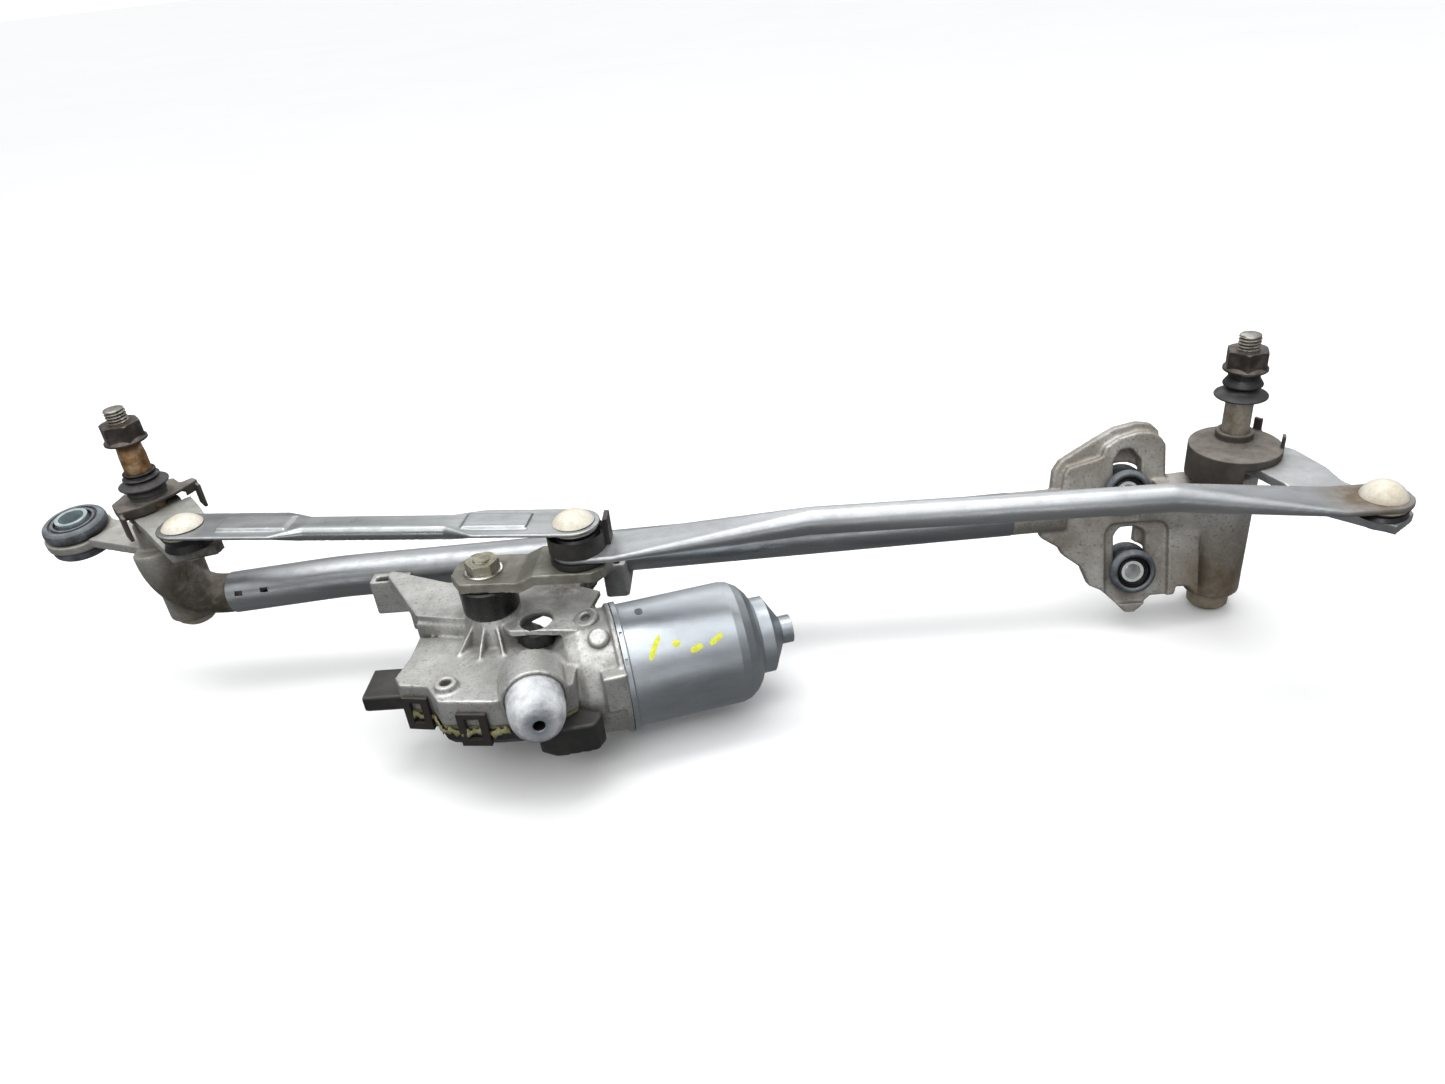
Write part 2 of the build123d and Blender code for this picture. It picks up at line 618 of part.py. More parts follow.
def add_case_shell():
    """Front box, wheel chamber, bell for the motor and their hollows."""
    extrude(case_sketch(CASE_BOTTOM, 0), amount=2.0)
    slab(CASE_OUTLINE, CASE_BOTTOM, CASE_TOP)
    disc(MOTOR, CHAMBER_R, CASE_BOTTOM, CHAMBER_TOP + 2.4)
    turn_on_worm(BELL)
    with Locations(worm_plane(38).location * Location((7.3, 24.0, 5.5))):
        Box(11.0, 7.0, 11.0)
    with Locations(worm_plane(42).location * Location((-24.0, 8.0, 5.5))):
        Box(14.0, 19.0, 11.0)
    with BuildSketch(Plane.XY.offset(CASE_BOTTOM - 1)) as hollow:
        with BuildLine():
            Polyline(*CASE_OUTLINE, close=True)
        make_face()
        offset(amount=-3.0, kind=Kind.INTERSECTION)
    extrude(hollow.sketch, amount=CASE_TOP - CASE_BOTTOM - 2, mode=Mode.SUBTRACT)
    disc(MOTOR, CHAMBER_R - 2.2, CASE_BOTTOM - 8, CHAMBER_TOP, Mode.SUBTRACT)
    turn_on_worm([(25.6, 52), (27.68, 52), (27.68, 57), (26.0, 57), (25.6, 56)])
    turn_on_worm([(0, 22), (8, 22), (8, 30.2), (15, 30.2), (23, 36), (25.5, 42), (26, 58), (0, 58)],
                 Mode.SUBTRACT)


def add_case_tunnel():
    """Bearing tunnel of the worm, open towards the wheel."""
    turn_on_worm([(0, -30), (8.8, -30), (8.8, 24), (0, 24)])
    with Locations((WORM_FOOT[0], WORM_FOOT[1], -123 - 10)):
        Box(90, 40, 20, rotation=(0, 0, WORM_TURN), mode=Mode.SUBTRACT)
    turn_on_worm([(0, -28.5), (5.6, -28.5), (5.6, 24), (0, 24)], Mode.SUBTRACT)
    turn_on_worm([(0, 22), (8, 22), (8, 30.2), (0, 30.2)], Mode.SUBTRACT)
    disc(MOTOR, CHAMBER_R - 2.2, CASE_BOTTOM - 14, CHAMBER_TOP, Mode.SUBTRACT)


def add_case_boss():
    """Boss of the output shaft with its ribs."""
    turn_up([(0, -72), (9.0, -72), (9.0, -85), (12.5, -85.4), (14.5, -94), (16, -98),
             (18, -107), (18, -110), (0, -110)], MOTOR)
    for end in RIB_ENDS:
        ux, uy, reach = direction(MOTOR, end)
        rib = Plane(origin=(*MOTOR, 0), x_dir=(ux, uy, 0), z_dir=(uy, -ux, 0))
        slab([(8, -86.2), (11.5, -86.2), (reach, CASE_TOP + 0.4), (reach, CASE_TOP - 1),
              (8, CASE_TOP - 1)], -0.8, 0.8, rib)


def add_case_bridge():
    """Web from the boss out to the two saddles that carry the tube."""
    slab([(116, -17), (141, -56), (165, -62), (190, -66), (214, -46), (232, -19), (232, -12),
          (205, -26), (180, -34), (150, -28), (116, -12)], -94, -88, corner=2)
    wall = plan_plane((141, -56), (167, -62), 0)
    slab([(0, -1.5), (26, -1.5), (26, 2), (0, 2)], -101, -92, wall)
    for start, end in ((106, 126), (226, 238)):
        slab([(start, -19), (end, -19), (end, 9), (start, 9)], -110, -97, corner=1.5)
        slab([(start, -19), (end, -19), (end, -9), (start, -9)], -98, -91, corner=1.0)
        slab([(start + 3, -17.4), (end - 3, -17.4), (end - 3, -13), (start + 3, -13)], -97, -90,
             mode=Mode.SUBTRACT)
    for edge in ([(126, -17), (139, -54)], [(222, -19), (213, -44)]):
        rib = plan_plane(edge[0], edge[1], 0)
        slab([(0, -1.2), (34, -1.2), (34, 1.2), (0, 1.2)], -101, -92, rib)
    slab([(184, -68), (190, -75), (206, -76), (222, -78), (229, -46), (214, -38), (198, -56)],
         -91.5, -88)
    disc(HOLE_AT, 7.5, -92, -87, Mode.SUBTRACT)


def make_gear_case():
    with BuildPart() as case:
        add_case_shell()
        add_case_tunnel()
        add_case_boss()
        add_case_bridge()
        disc((165, -101), 5.2, CASE_TOP - 1, CASE_TOP + 3.4)
        disc((165, -101), 2.5, CASE_TOP - 6, CASE_TOP + 5, Mode.SUBTRACT)
        drum(hub_plane(), HUB_R, -18, 0)
        drum(hub_plane(), HUB_R - 1.9, -15, 1, Mode.SUBTRACT)
        drum(hub_plane(), 13.4, 0, 22, Mode.SUBTRACT)
        drum(tube_plane(0), TUBE_R + FIT, 10, 200, Mode.SUBTRACT)
        turn_up([(0, -70), (7.0, -70), (7.0, -112.5), (0, -112.5)], MOTOR, Mode.SUBTRACT)
    save(case, "gear_case")


def make_output_bushes():
    with BuildPart() as bushes:
        for low in (-84.0, -111.6):
            disc(MOTOR, 7.0 - FIT, low, low + 12)
            disc(MOTOR, OUTPUT_R + RUN, low, low + 12, Mode.SUBTRACT)
    save(bushes, "output_bushes")


def make_crank_boot():
    """Rubber cover over the boss, under the crank arm."""
    with BuildPart() as boot:
        turn_up([(OUTPUT_R + 0.1, -70.4), (12.6, -70.4), (13.4, -71.2), (13.2, -84.0),
                 (12.6, -84.9), (9.0 + FIT, -84.9), (9.0 + FIT, -71.95), (OUTPUT_R + 0.1, -71.95)],
                MOTOR)
    save(boot, "crank_boot")


def make_rubber_mount():
    """Tapered rubber plug in the case's ring, with a blind hole in its face."""
    with BuildPart() as plug:
        turn([(0, -14.9), (HUB_R - 1.9 - FIT, -14.9), (HUB_R - 1.9 - FIT, -1), (12.4, 1.5),
              (12.7, 6), (12.3, 12), (10.8, 16), (8.0, 18.2), (0, 18.8)],
             hub_side())
        drum(hub_plane(), 2.3, 4, 20, Mode.SUBTRACT)
    save(plug, "rubber_mount")


def hub_side():
    """Plane that holds the rubber mount's axis as its y."""
    return Plane(origin=HUB_AT, x_dir=WORM_DIR, z_dir=(0, 0, -1))


def make_hole_sleeve():
    """Half sleeve of rubber hanging under the case's through hole."""
    with BuildPart() as sleeve:
        disc(HOLE_AT, 9.0, CASE_TOP + FIT, -91.5 - FIT)
        disc(HOLE_AT, 7.6, -102, -91, Mode.SUBTRACT)
        with Locations((HOLE_AT[0] - 3, HOLE_AT[1] + 6, -96)):
            Box(30, 14, 14, mode=Mode.SUBTRACT)
        disc(MOTOR, 16.4, -99, -90, Mode.SUBTRACT)
        cut_bell(0.3)
    save(sleeve, "hole_sleeve")


def cut_bell(gap):
    """Room for the bell and tunnel of the gear case."""
    turn_on_worm([(0, -31), (8.8 + gap, -31), (8.8 + gap, 18 - gap), (12 + gap, 18 - gap),
                  (19 + gap, 24 - gap), (25 + gap, 29 - gap), (31.5 + gap, 36 - gap),
                  (31.5 + gap, 60), (0, 60)], Mode.SUBTRACT)


def make_case_sealant():
    """Bead of sealant squeezed between the case and its bottom cover."""
    with BuildPart() as bead:
        extrude(case_sketch(CASE_BOTTOM - 2.4, -0.3), amount=2.4 - FIT)
        extrude(case_sketch(CASE_BOTTOM - 3, -2.0), amount=4, mode=Mode.SUBTRACT)
        cut_bell(0.3)
        drum(hub_plane(), HUB_R + GAP, -20, 22, Mode.SUBTRACT)
    save(bead, "case_sealant")


def make_bottom_cover():
    top = CASE_BOTTOM - 2.4 - FIT
    low = -124.0
    with BuildPart() as cover:
        extrude(case_sketch(low + 4.5, 0), amount=top - low - 4.5)
        loft([case_sketch(low + 4.5, 0), case_sketch(low, -3.0)])
        slab(COVER_LOBE, -129, top, corner=3)
        extrude(case_sketch(low + 2, -3.0), amount=20, mode=Mode.SUBTRACT)
        cut_bell(0.3)
    save(cover, "case_bottom_cover")


def make_case_clips():
    """Window clips that hold the bottom cover to the case's front wall."""
    with BuildPart() as clips:
        for start, end in CLIP_WALLS:
            ux, uy, reach = direction(start, end)
            face = Plane(origin=(start[0] + uy * 0.4, start[1] - ux * 0.4, 0),
                         x_dir=(ux, uy, 0), z_dir=(uy, -ux, 0))
            slab([(0, -121), (reach, -121), (reach, -103.5), (0, -103.5)], 0, 2.0, face)
            slab([(3.4, -117.5), (reach - 3.4, -117.5), (reach - 3.4, -106), (3.4, -106)],
                 -1, 3, face, Mode.SUBTRACT)
        drum(hub_plane(), HUB_R + GAP, -20, 22, Mode.SUBTRACT)
    save(clips, "case_clips")


def make_connector():
    """Socket of the motor's plug, open to the left, with its blades."""
    face = Plane(origin=(138.4, -80, 0), x_dir=(0, -1, 0), z_dir=(-1, 0, 0))
    with BuildPart() as shroud:
        slab([(-11, -108.5), (11, -108.5), (11, -115.5), (8, -118.5), (-8, -118.5), (-11, -115.5)],
             0, 18, face, corner=1.5)
        slab([(-9.2, -110.2), (9.2, -110.2), (9.2, -114.9), (7.2, -116.9), (-7.2, -116.9),
              (-9.2, -114.9)], 5, 19, face, Mode.SUBTRACT, corner=0.8)
    save(shroud, "connector_housing")
    with BuildPart() as blades:
        for across in (-6.0, -2.0, 2.0, 6.0):
            with Locations(face.location * Location((across, -113.6, 8.44))):
                Box(0.8, 2.8, 6.8)
    save(blades, "connector_blades")


# ------------------------------------------------------------ electric motor
def make_yoke():
    with BuildPart() as yoke:
        turn_on_worm([(YOKE_R - 1.8, 53 + FIT), (31, 53 + FIT), (31, 55.4), (YOKE_R, 55.9),
                      (YOKE_R, 106), (28.6, 110), (26.0, 114), (22.5, 117), (18.5, 119),
                      (18.5, 125), (8.5, 130.5), (6.8, 131.5), (6.8, 137), (0, 137), (0, 135),
                      (5.0 + FIT, 135), (5.0 + FIT, 126), (7, 126), (16.5, 122), (16.5, 117.6),
                      (21.0, 115.4), (24.8, 112.6), (27.2, 108.8), (YOKE_R - 1.8, 105)])
        for turned in NOTCH_TURNS:
            notch = worm_plane(54.3).location * Location((0, 0, 0), (0, 0, turned))
            with Locations(notch * Location((YOKE_R + 1.6, 0, 0))):
                Box(2.0, 3.0, 1.3, mode=Mode.SUBTRACT)
    save(yoke, "motor_yoke")


def make_magnets():
    with BuildPart() as magnets:
        turn_on_worm([(19.0, 58), (27.66, 58), (27.66, 104), (19.0, 104)])
        with Locations(worm_plane(80).location):
            Box(80, 15, 60, mode=Mode.SUBTRACT)
    save(magnets, "field_magnets")


def make_armature():
    with BuildPart() as shaft:
        turn_on_worm([(0, -27), (2.6, -27), (3, -26.4), (3, -14.5), (4.2, -14), (5.2, -12.5),
                      (5.2, 12.5), (4.2, 14), (3, 14.5), (3, 129.4), (2.6, 130), (0, 130)])
    save(shaft, "armature_shaft")
    with BuildPart() as commutator:
        turn_on_worm([(3 + FIT, 34), (6.5, 34), (9, 36), (9, 48), (10.2, 48), (10.2, 50),
                      (3 + FIT, 50)])
        for step in range(12):
            slot = worm_plane(36).location * Location((0, 0, 0), (0, 0, 30 * step))
            with Locations(slot * Location((9, 0, 6))):
                Box(1.6, 0.6, 11, mode=Mode.SUBTRACT)
    save(commutator, "commutator")
    with BuildPart() as core:
        turn_on_worm([(3 + FIT, 60), (18.2, 60), (18.2, 102), (3 + FIT, 102)])
        for step in range(12):
            slot = worm_plane(60).location * Location((0, 0, 0), (0, 0, 30 * step))
            with Locations(slot * Location((18, 0, 21))):
                Box(3.0, 1.6, 44, mode=Mode.SUBTRACT)
    save(core, "armature_core")
    with BuildPart() as windings:
        for low, high in ((52, 60 - FIT), (102 + FIT, 109)):
            turn_on_worm([(6, low), (13.5, low), (15.6, low + 2), (15.6, high - 1), (14.5, high),
                          (6, high)])
    save(windings, "armature_windings")


def make_motor_bearings():
    """Bush at the worm's end, bearing at the bell and bush in the yoke's end."""
    with BuildPart() as bearings:
        for low, high, outer in ((-28.4, -20, 5.6), (24, 30, 8), (126.2, 134, 5.0)):
            turn_on_worm([(3 + RUN, low), (outer - FIT, low), (outer - FIT, high), (3 + RUN, high)])
    save(bearings, "motor_bearings")


def make_brush_gear():
    with BuildPart() as plate:
        turn_on_worm([(11.4, 44), (25, 44), (25, 46), (11.4, 46)])
        for turned in (0, 180):
            holder = worm_plane(40).location * Location((0, 0, 0), (0, 0, turned))
            with Locations(holder * Location((16.2, 0, 1.7))):
                Box(12, 7.4, 6.6)
            with Locations(holder * Location((16.2, 0, 1.4))):
                Box(14, 5.2, 4.6, mode=Mode.SUBTRACT)
        for turned in (0, 180):
            holder = worm_plane(40).location * Location((0, 0, 0), (0, 0, turned))
            with Locations(holder * Location((14.2, 0, 1.4))):
                Box(10, 5.0, 4.4)
    save(plate, "brush_gear")


# ------------------------------------------------------------ tube and pivot housings
def tube_path():
    return FilletPolyline(LEFT_ELBOW_END, TUBE_BEND, TUBE_END, radius=300)


def tube_plane(distance=0.0):
    """Plane across the tube's long run, z towards its right end."""
    run = (Vector(*TUBE_END) - Vector(*TUBE_BEND)).normalized()
    origin = Vector(*TUBE_BEND) + run * distance
    return Plane(origin=tuple(origin), x_dir=(0, 1, 0), z_dir=tuple(run))


def sweep_circle(path, radius, mode=Mode.ADD):
    with BuildSketch(Plane(origin=path @ 0, x_dir=(0, 1, 0), z_dir=path % 0)) as ring:
        Circle(radius)
    sweep(ring.sketch, path=path, mode=mode)


def make_tube():
    with BuildPart() as tube:
        with BuildLine() as line:
            tube_path()
        path = line.wires()[0]
        sweep_circle(path, TUBE_R)
        sweep_circle(path, TUBE_R - TUBE_WALL, Mode.SUBTRACT)
        for x in DENTS:
            slope = (TUBE_BEND[2] - LEFT_ELBOW_END[2]) / (TUBE_BEND[0] - LEFT_ELBOW_END[0])
            middle = LEFT_ELBOW_END[2] + slope * (x - LEFT_ELBOW_END[0])
            with Locations(Location((x, -TUBE_R * cos(radians(24)), middle + TUBE_R * sin(radians(24))),
                                    (24, 0, 0))):
                Box(4.2, 1.9, 5.2, mode=Mode.SUBTRACT)
    save(tube, "frame_tube")


def cut_spindle_bore(side):
    """Bore for a spindle with a wider pocket for each bush."""
    at = (side["x"], 0)
    top = side["case_top"]
    foot = side["case_bottom"]
    disc(at, SHAFT_R + 1.0, foot - 1, top + 1, Mode.SUBTRACT)
    disc(at, BUSH_R, top - 1 - BUSH_L, top + 1, Mode.SUBTRACT)
    disc(at, BUSH_R, foot - 1, foot + 3.2 + BUSH_L, Mode.SUBTRACT)


def ring_plane(off=0.0):
    """Plane of the left grommet, z out of its top."""
    tilt = radians(RING_TILT)
    normal = (0, -sin(tilt), cos(tilt))
    origin = [LEFT_RING[i] + off * normal[i] for i in range(3)]
    return Plane(origin=tuple(origin), x_dir=(1, 0, 0), z_dir=normal)


def make_left_housing():
    tube_dir = (Vector(*TUBE_BEND) - Vector(*LEFT_ELBOW_END)).normalized()
    end = Plane(origin=LEFT_ELBOW_END, x_dir=(0, 1, 0), z_dir=tuple(tube_dir))
    with BuildPart() as housing:
        disc((0, 0), LEFT["case_r"], LEFT["case_bottom"], LEFT["case_top"])
        with BuildLine() as line:
            Spline((-1, -10, -66), LEFT_ELBOW_END, tangents=[(0.1, -0.1, -1), tuple(tube_dir)])
        elbow = line.edges()[0]
        rings = []
        for along, radius in ((0, 11.5), (0.3, 12.0), (0.6, 11.4), (0.85, 10.6), (1, 10.4)):
            with BuildSketch(Plane(origin=elbow @ along, x_dir=(0, 1, 0), z_dir=elbow % along)) as ring:
                Circle(radius)
            rings.append(ring.sketch)
        loft(rings)
        drum(end, SPIGOT_R, -1, 20)
        slab([(-48, 5), (-6, -11), (0, 0), (-6, 11), (-50, 29), (-58, 24)], -70, -65)
        slab([(-30, 9), (-8, -1), (-8, 4), (-30, 13)], -73, -69)
        drum(ring_plane(), 16.5, 2.5, 14, Mode.SUBTRACT)
        drum(ring_plane(), 16.5, -14, -2.5, Mode.SUBTRACT)
        drum(ring_plane(), 17.0, -2.5, 2.5)
        cut_spindle_bore(LEFT)
        drum(ring_plane(), 12.0, -12, 10, Mode.SUBTRACT)
    save(housing, "left_housing")


def make_right_housing():
    side = RIGHT
    plate = [(-31, 16), (-30, 24), (-28, 27), (-11.6, 31), (-10, 36), (-3.6, 40), (6, 42.4), (12, 41.9),
             (17, 39),
             (19.5, 35), (19.5, 10), (24, 4), (37, -2), (37, -46), (31.5, -38.8), (25.5, -38.5),
             (25, -43), (13.6, -43.3), (5, -50.7), (0, -50.5), (-4, -46), (-12, -38), (-18, -35),
             (-22, -25), (-31, -18), (-33, -14), (-42, -8), (-42, 8)]
    flat = bracket_plane()
    with BuildPart() as housing:
        disc((side["x"], 0), side["case_r"], side["case_bottom"], side["case_top"])
        slab([(497, -7), (536, -9), (536, 7), (497, 3)], -136, -75.4)
        slab(plate, BRACKET_BACK, BRACKET_FRONT, flat, corner=1.2)
        slab([(-30, 0), (-36, 13), (-34.5, 25), (-31, 30), (-15, 39), (-4.5, 44.5), (6.5, 46.6),
              (13, 45.6), (17, 41.5), (17, 20)], BRACKET_BACK - 2.5, BRACKET_FRONT - 3.5, flat, corner=1.2)
        drum(Plane(origin=TUBE_END, x_dir=(0, 1, 0), z_dir=tube_plane().z_dir), 10.8, FIT, 27)
        drum(Plane(origin=TUBE_END, x_dir=(0, 1, 0), z_dir=tube_plane().z_dir), SPIGOT_R, -20, 1)
        slab([(-10, -46), (21.3, -46), (21.3, -3.2), (-10, -3.2)], BRACKET_FRONT - 2.5,
             BRACKET_FRONT + 1, flat, Mode.SUBTRACT, corner=6)
        for slot in SLOTS:
            slab(slot, BRACKET_BACK - 1, BRACKET_FRONT + 1, flat, Mode.SUBTRACT, corner=3)
        for u, w in BOLTS.values():
            face = bracket_plane(u, w)
            drum(face, 8.5, -5, 9, Mode.SUBTRACT)
            drum(face, 13.2, -14, BRACKET_BACK, Mode.SUBTRACT)
            drum(face, 13.3, BRACKET_FRONT, 20, Mode.SUBTRACT)
        cut_spindle_bore(side)
    save(housing, "right_housing")


def make_grommet(name, plane, low, back, front, high, neck, flange, bore):
    """Rubber ring between flange faces low..back and front..high, necked through the plate."""
    with BuildPart() as grommet:
        drum(plane, flange, low, back - FIT)
        drum(plane, neck - FIT, low, high)
        drum(plane, flange, front + FIT, high)
        drum(plane, bore, low - 1, high + 1, Mode.SUBTRACT)
    save(grommet, name)


def make_right_grommet(name, plane):
    """Rubber ring of a bracket bolt, with a recess in its front round the sleeve."""
    with BuildPart() as grommet:
        drum(plane, 12.0, -7, BRACKET_BACK - FIT)
        drum(plane, 8.5 - FIT, -7, 9)
        turn([(0, BRACKET_FRONT + FIT), (11.2, BRACKET_FRONT + FIT), (11.6, 7.4), (11.2, 9.2),
              (9.8, 10.6), (8.4, 10.6), (7.8, 10.0), (7.8, 8.0), (0, 8.0)], turned_up(plane))
        drum(plane, 5.5, -8, 12, Mode.SUBTRACT)
    save(grommet, name)


def turned_up(plane):
    """Plane that holds another plane's normal as its y."""
    return Plane(origin=plane.origin, x_dir=plane.x_dir, z_dir=-plane.y_dir)


def make_sleeve(name, plane, low, high, outer, bore):
    with BuildPart() as sleeve:
        drum(plane, outer - FIT, low, high)
        drum(plane, bore, low - 1, high + 1, Mode.SUBTRACT)
    save(sleeve, name)


def make_bolt_points():
    make_grommet("left_grommet", ring_plane(), -8.0, -2.5, 2.5, 9.5, 12, 16, 8.2)
    make_sleeve("left_sleeve", ring_plane(), -10.5, 11.0, 8.2, 6.25)
    for name, (u, w) in BOLTS.items():
        make_right_grommet(f"right_{name}_grommet", bracket_plane(u, w))
        make_sleeve(f"right_{name}_sleeve", bracket_plane(u, w), -9, 8.0, 5.5, SLEEVE_BORE_R)


for pivot in SIDES:
    make_spindle(pivot)
    make_arm_nut(pivot)
    make_shaft_boot(pivot)
    make_spindle_bushes(pivot)
    make_spindle_stops(pivot)
    make_end_cap(pivot)
    make_lever(pivot, *LEVER_PLANS[pivot["name"]])
    make_lever_stud(pivot)
make_left_cover()
make_right_cover()
make_left_link()
make_right_link()
make_left_link_ends()
make_right_link_end()
make_captive_ball("left_ball", LEFT_BALL, LINK_A_LEFT_TOP - LINK_A_T - 0.3, LEFT["ball_top"])
make_captive_ball("right_ball", RIGHT_BALL, LINK_B_TOP - LINK_B_T + RIGHT_BALL_LIFT,
                  RIGHT["ball_top"])
make_crank_socket()
make_crank_stud()
make_crank_arm()
make_crank_nut_and_washer()
make_output_shaft()
make_worm_wheel()
make_gear_case()
make_output_bushes()
make_crank_boot()
make_rubber_mount()
make_hole_sleeve()
make_case_sealant()
make_bottom_cover()
make_case_clips()
make_connector()
make_yoke()
make_magnets()
make_armature()
make_motor_bearings()
make_brush_gear()
make_tube()
make_left_housing()
make_right_housing()
make_bolt_points()
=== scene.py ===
"""Looks of the windshield wiper linkage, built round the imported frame.

The scene is in metres. Sizes and places of the linkage are in mm and get multiplied by MM.
"""
import json
from math import cos, pi, radians, sin, sqrt

import bmesh
import bpy
from mathutils import Matrix, Vector

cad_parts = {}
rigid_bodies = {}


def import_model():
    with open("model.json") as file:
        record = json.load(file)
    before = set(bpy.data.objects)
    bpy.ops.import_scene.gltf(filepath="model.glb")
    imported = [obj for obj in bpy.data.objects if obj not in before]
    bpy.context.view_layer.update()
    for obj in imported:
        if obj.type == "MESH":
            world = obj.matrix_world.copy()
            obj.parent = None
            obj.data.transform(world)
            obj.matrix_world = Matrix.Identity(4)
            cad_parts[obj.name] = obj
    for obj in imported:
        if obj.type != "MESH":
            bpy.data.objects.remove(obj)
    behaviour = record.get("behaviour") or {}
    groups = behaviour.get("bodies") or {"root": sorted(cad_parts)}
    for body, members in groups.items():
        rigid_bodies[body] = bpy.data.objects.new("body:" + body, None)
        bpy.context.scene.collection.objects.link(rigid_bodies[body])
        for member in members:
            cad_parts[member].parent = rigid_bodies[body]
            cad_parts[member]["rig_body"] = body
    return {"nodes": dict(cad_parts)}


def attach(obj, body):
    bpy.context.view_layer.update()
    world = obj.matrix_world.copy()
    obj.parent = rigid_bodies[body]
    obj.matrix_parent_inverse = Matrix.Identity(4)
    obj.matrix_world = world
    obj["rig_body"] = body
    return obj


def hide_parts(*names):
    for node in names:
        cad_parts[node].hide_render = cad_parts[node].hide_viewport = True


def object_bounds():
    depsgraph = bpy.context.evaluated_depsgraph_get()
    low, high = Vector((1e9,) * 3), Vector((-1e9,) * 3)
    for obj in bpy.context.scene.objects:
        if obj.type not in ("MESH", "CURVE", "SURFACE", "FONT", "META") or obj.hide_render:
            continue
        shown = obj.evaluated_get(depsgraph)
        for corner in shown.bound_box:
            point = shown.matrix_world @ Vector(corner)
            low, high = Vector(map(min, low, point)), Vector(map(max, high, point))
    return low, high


MM = 0.001
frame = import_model()
nodes = frame["nodes"]
cad_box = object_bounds()

# ------------------------------------------------------------ places, in mm in the frame's axes
UPRIGHT = Vector((0, 0, 1))
LEFT_SHAFT_X = 0.0
RIGHT_SHAFT_X = 539.7
OUTPUT_SHAFT = Vector((179.6, -58.0, 0.0))
CRANK_PIN = Vector((225.6, -60.0, 0.0))
CAP_TOP = -36.66  # height of the white cap's top over the crank's pin

MOTOR_TURN = radians(15)
MOTOR_FRONT = Vector((sin(MOTOR_TURN), -cos(MOTOR_TURN), 0))
WORM_DIR = Vector((cos(MOTOR_TURN), sin(MOTOR_TURN), 0))
WORM_Z = -117.2
WORM_OFFSET = 25.0  # from the output shaft to the worm's axis
WORM_FOOT = OUTPUT_SHAFT + WORM_Z * UPRIGHT + WORM_OFFSET * MOTOR_FRONT
HUB = Vector((206.2, -112.0, -99.4))  # middle of the gear case's hub, which holds the plug
YOKE_R = 29.5
YOKE_DEGREE = 0.515  # length of one degree on the yoke's skin

RING_TILT = radians(7)
RING_AXIS = Vector((0, -sin(RING_TILT), cos(RING_TILT)))
RING_CENTRE = Vector((-56.6, 16.0, -67.5))

BRACKET_LEAN = radians(16)
BRACKET_OUT = Vector((0, -cos(BRACKET_LEAN), sin(BRACKET_LEAN)))
BRACKET_UP = Vector((0, sin(BRACKET_LEAN), cos(BRACKET_LEAN)))
BRACKET_X = 490.0
BRACKET_Z = -94.5
BRACKET_HOLES = {"upper": (0.3, 12.9), "lower": (3.1, -28.3)}  # along the tube and up the plate


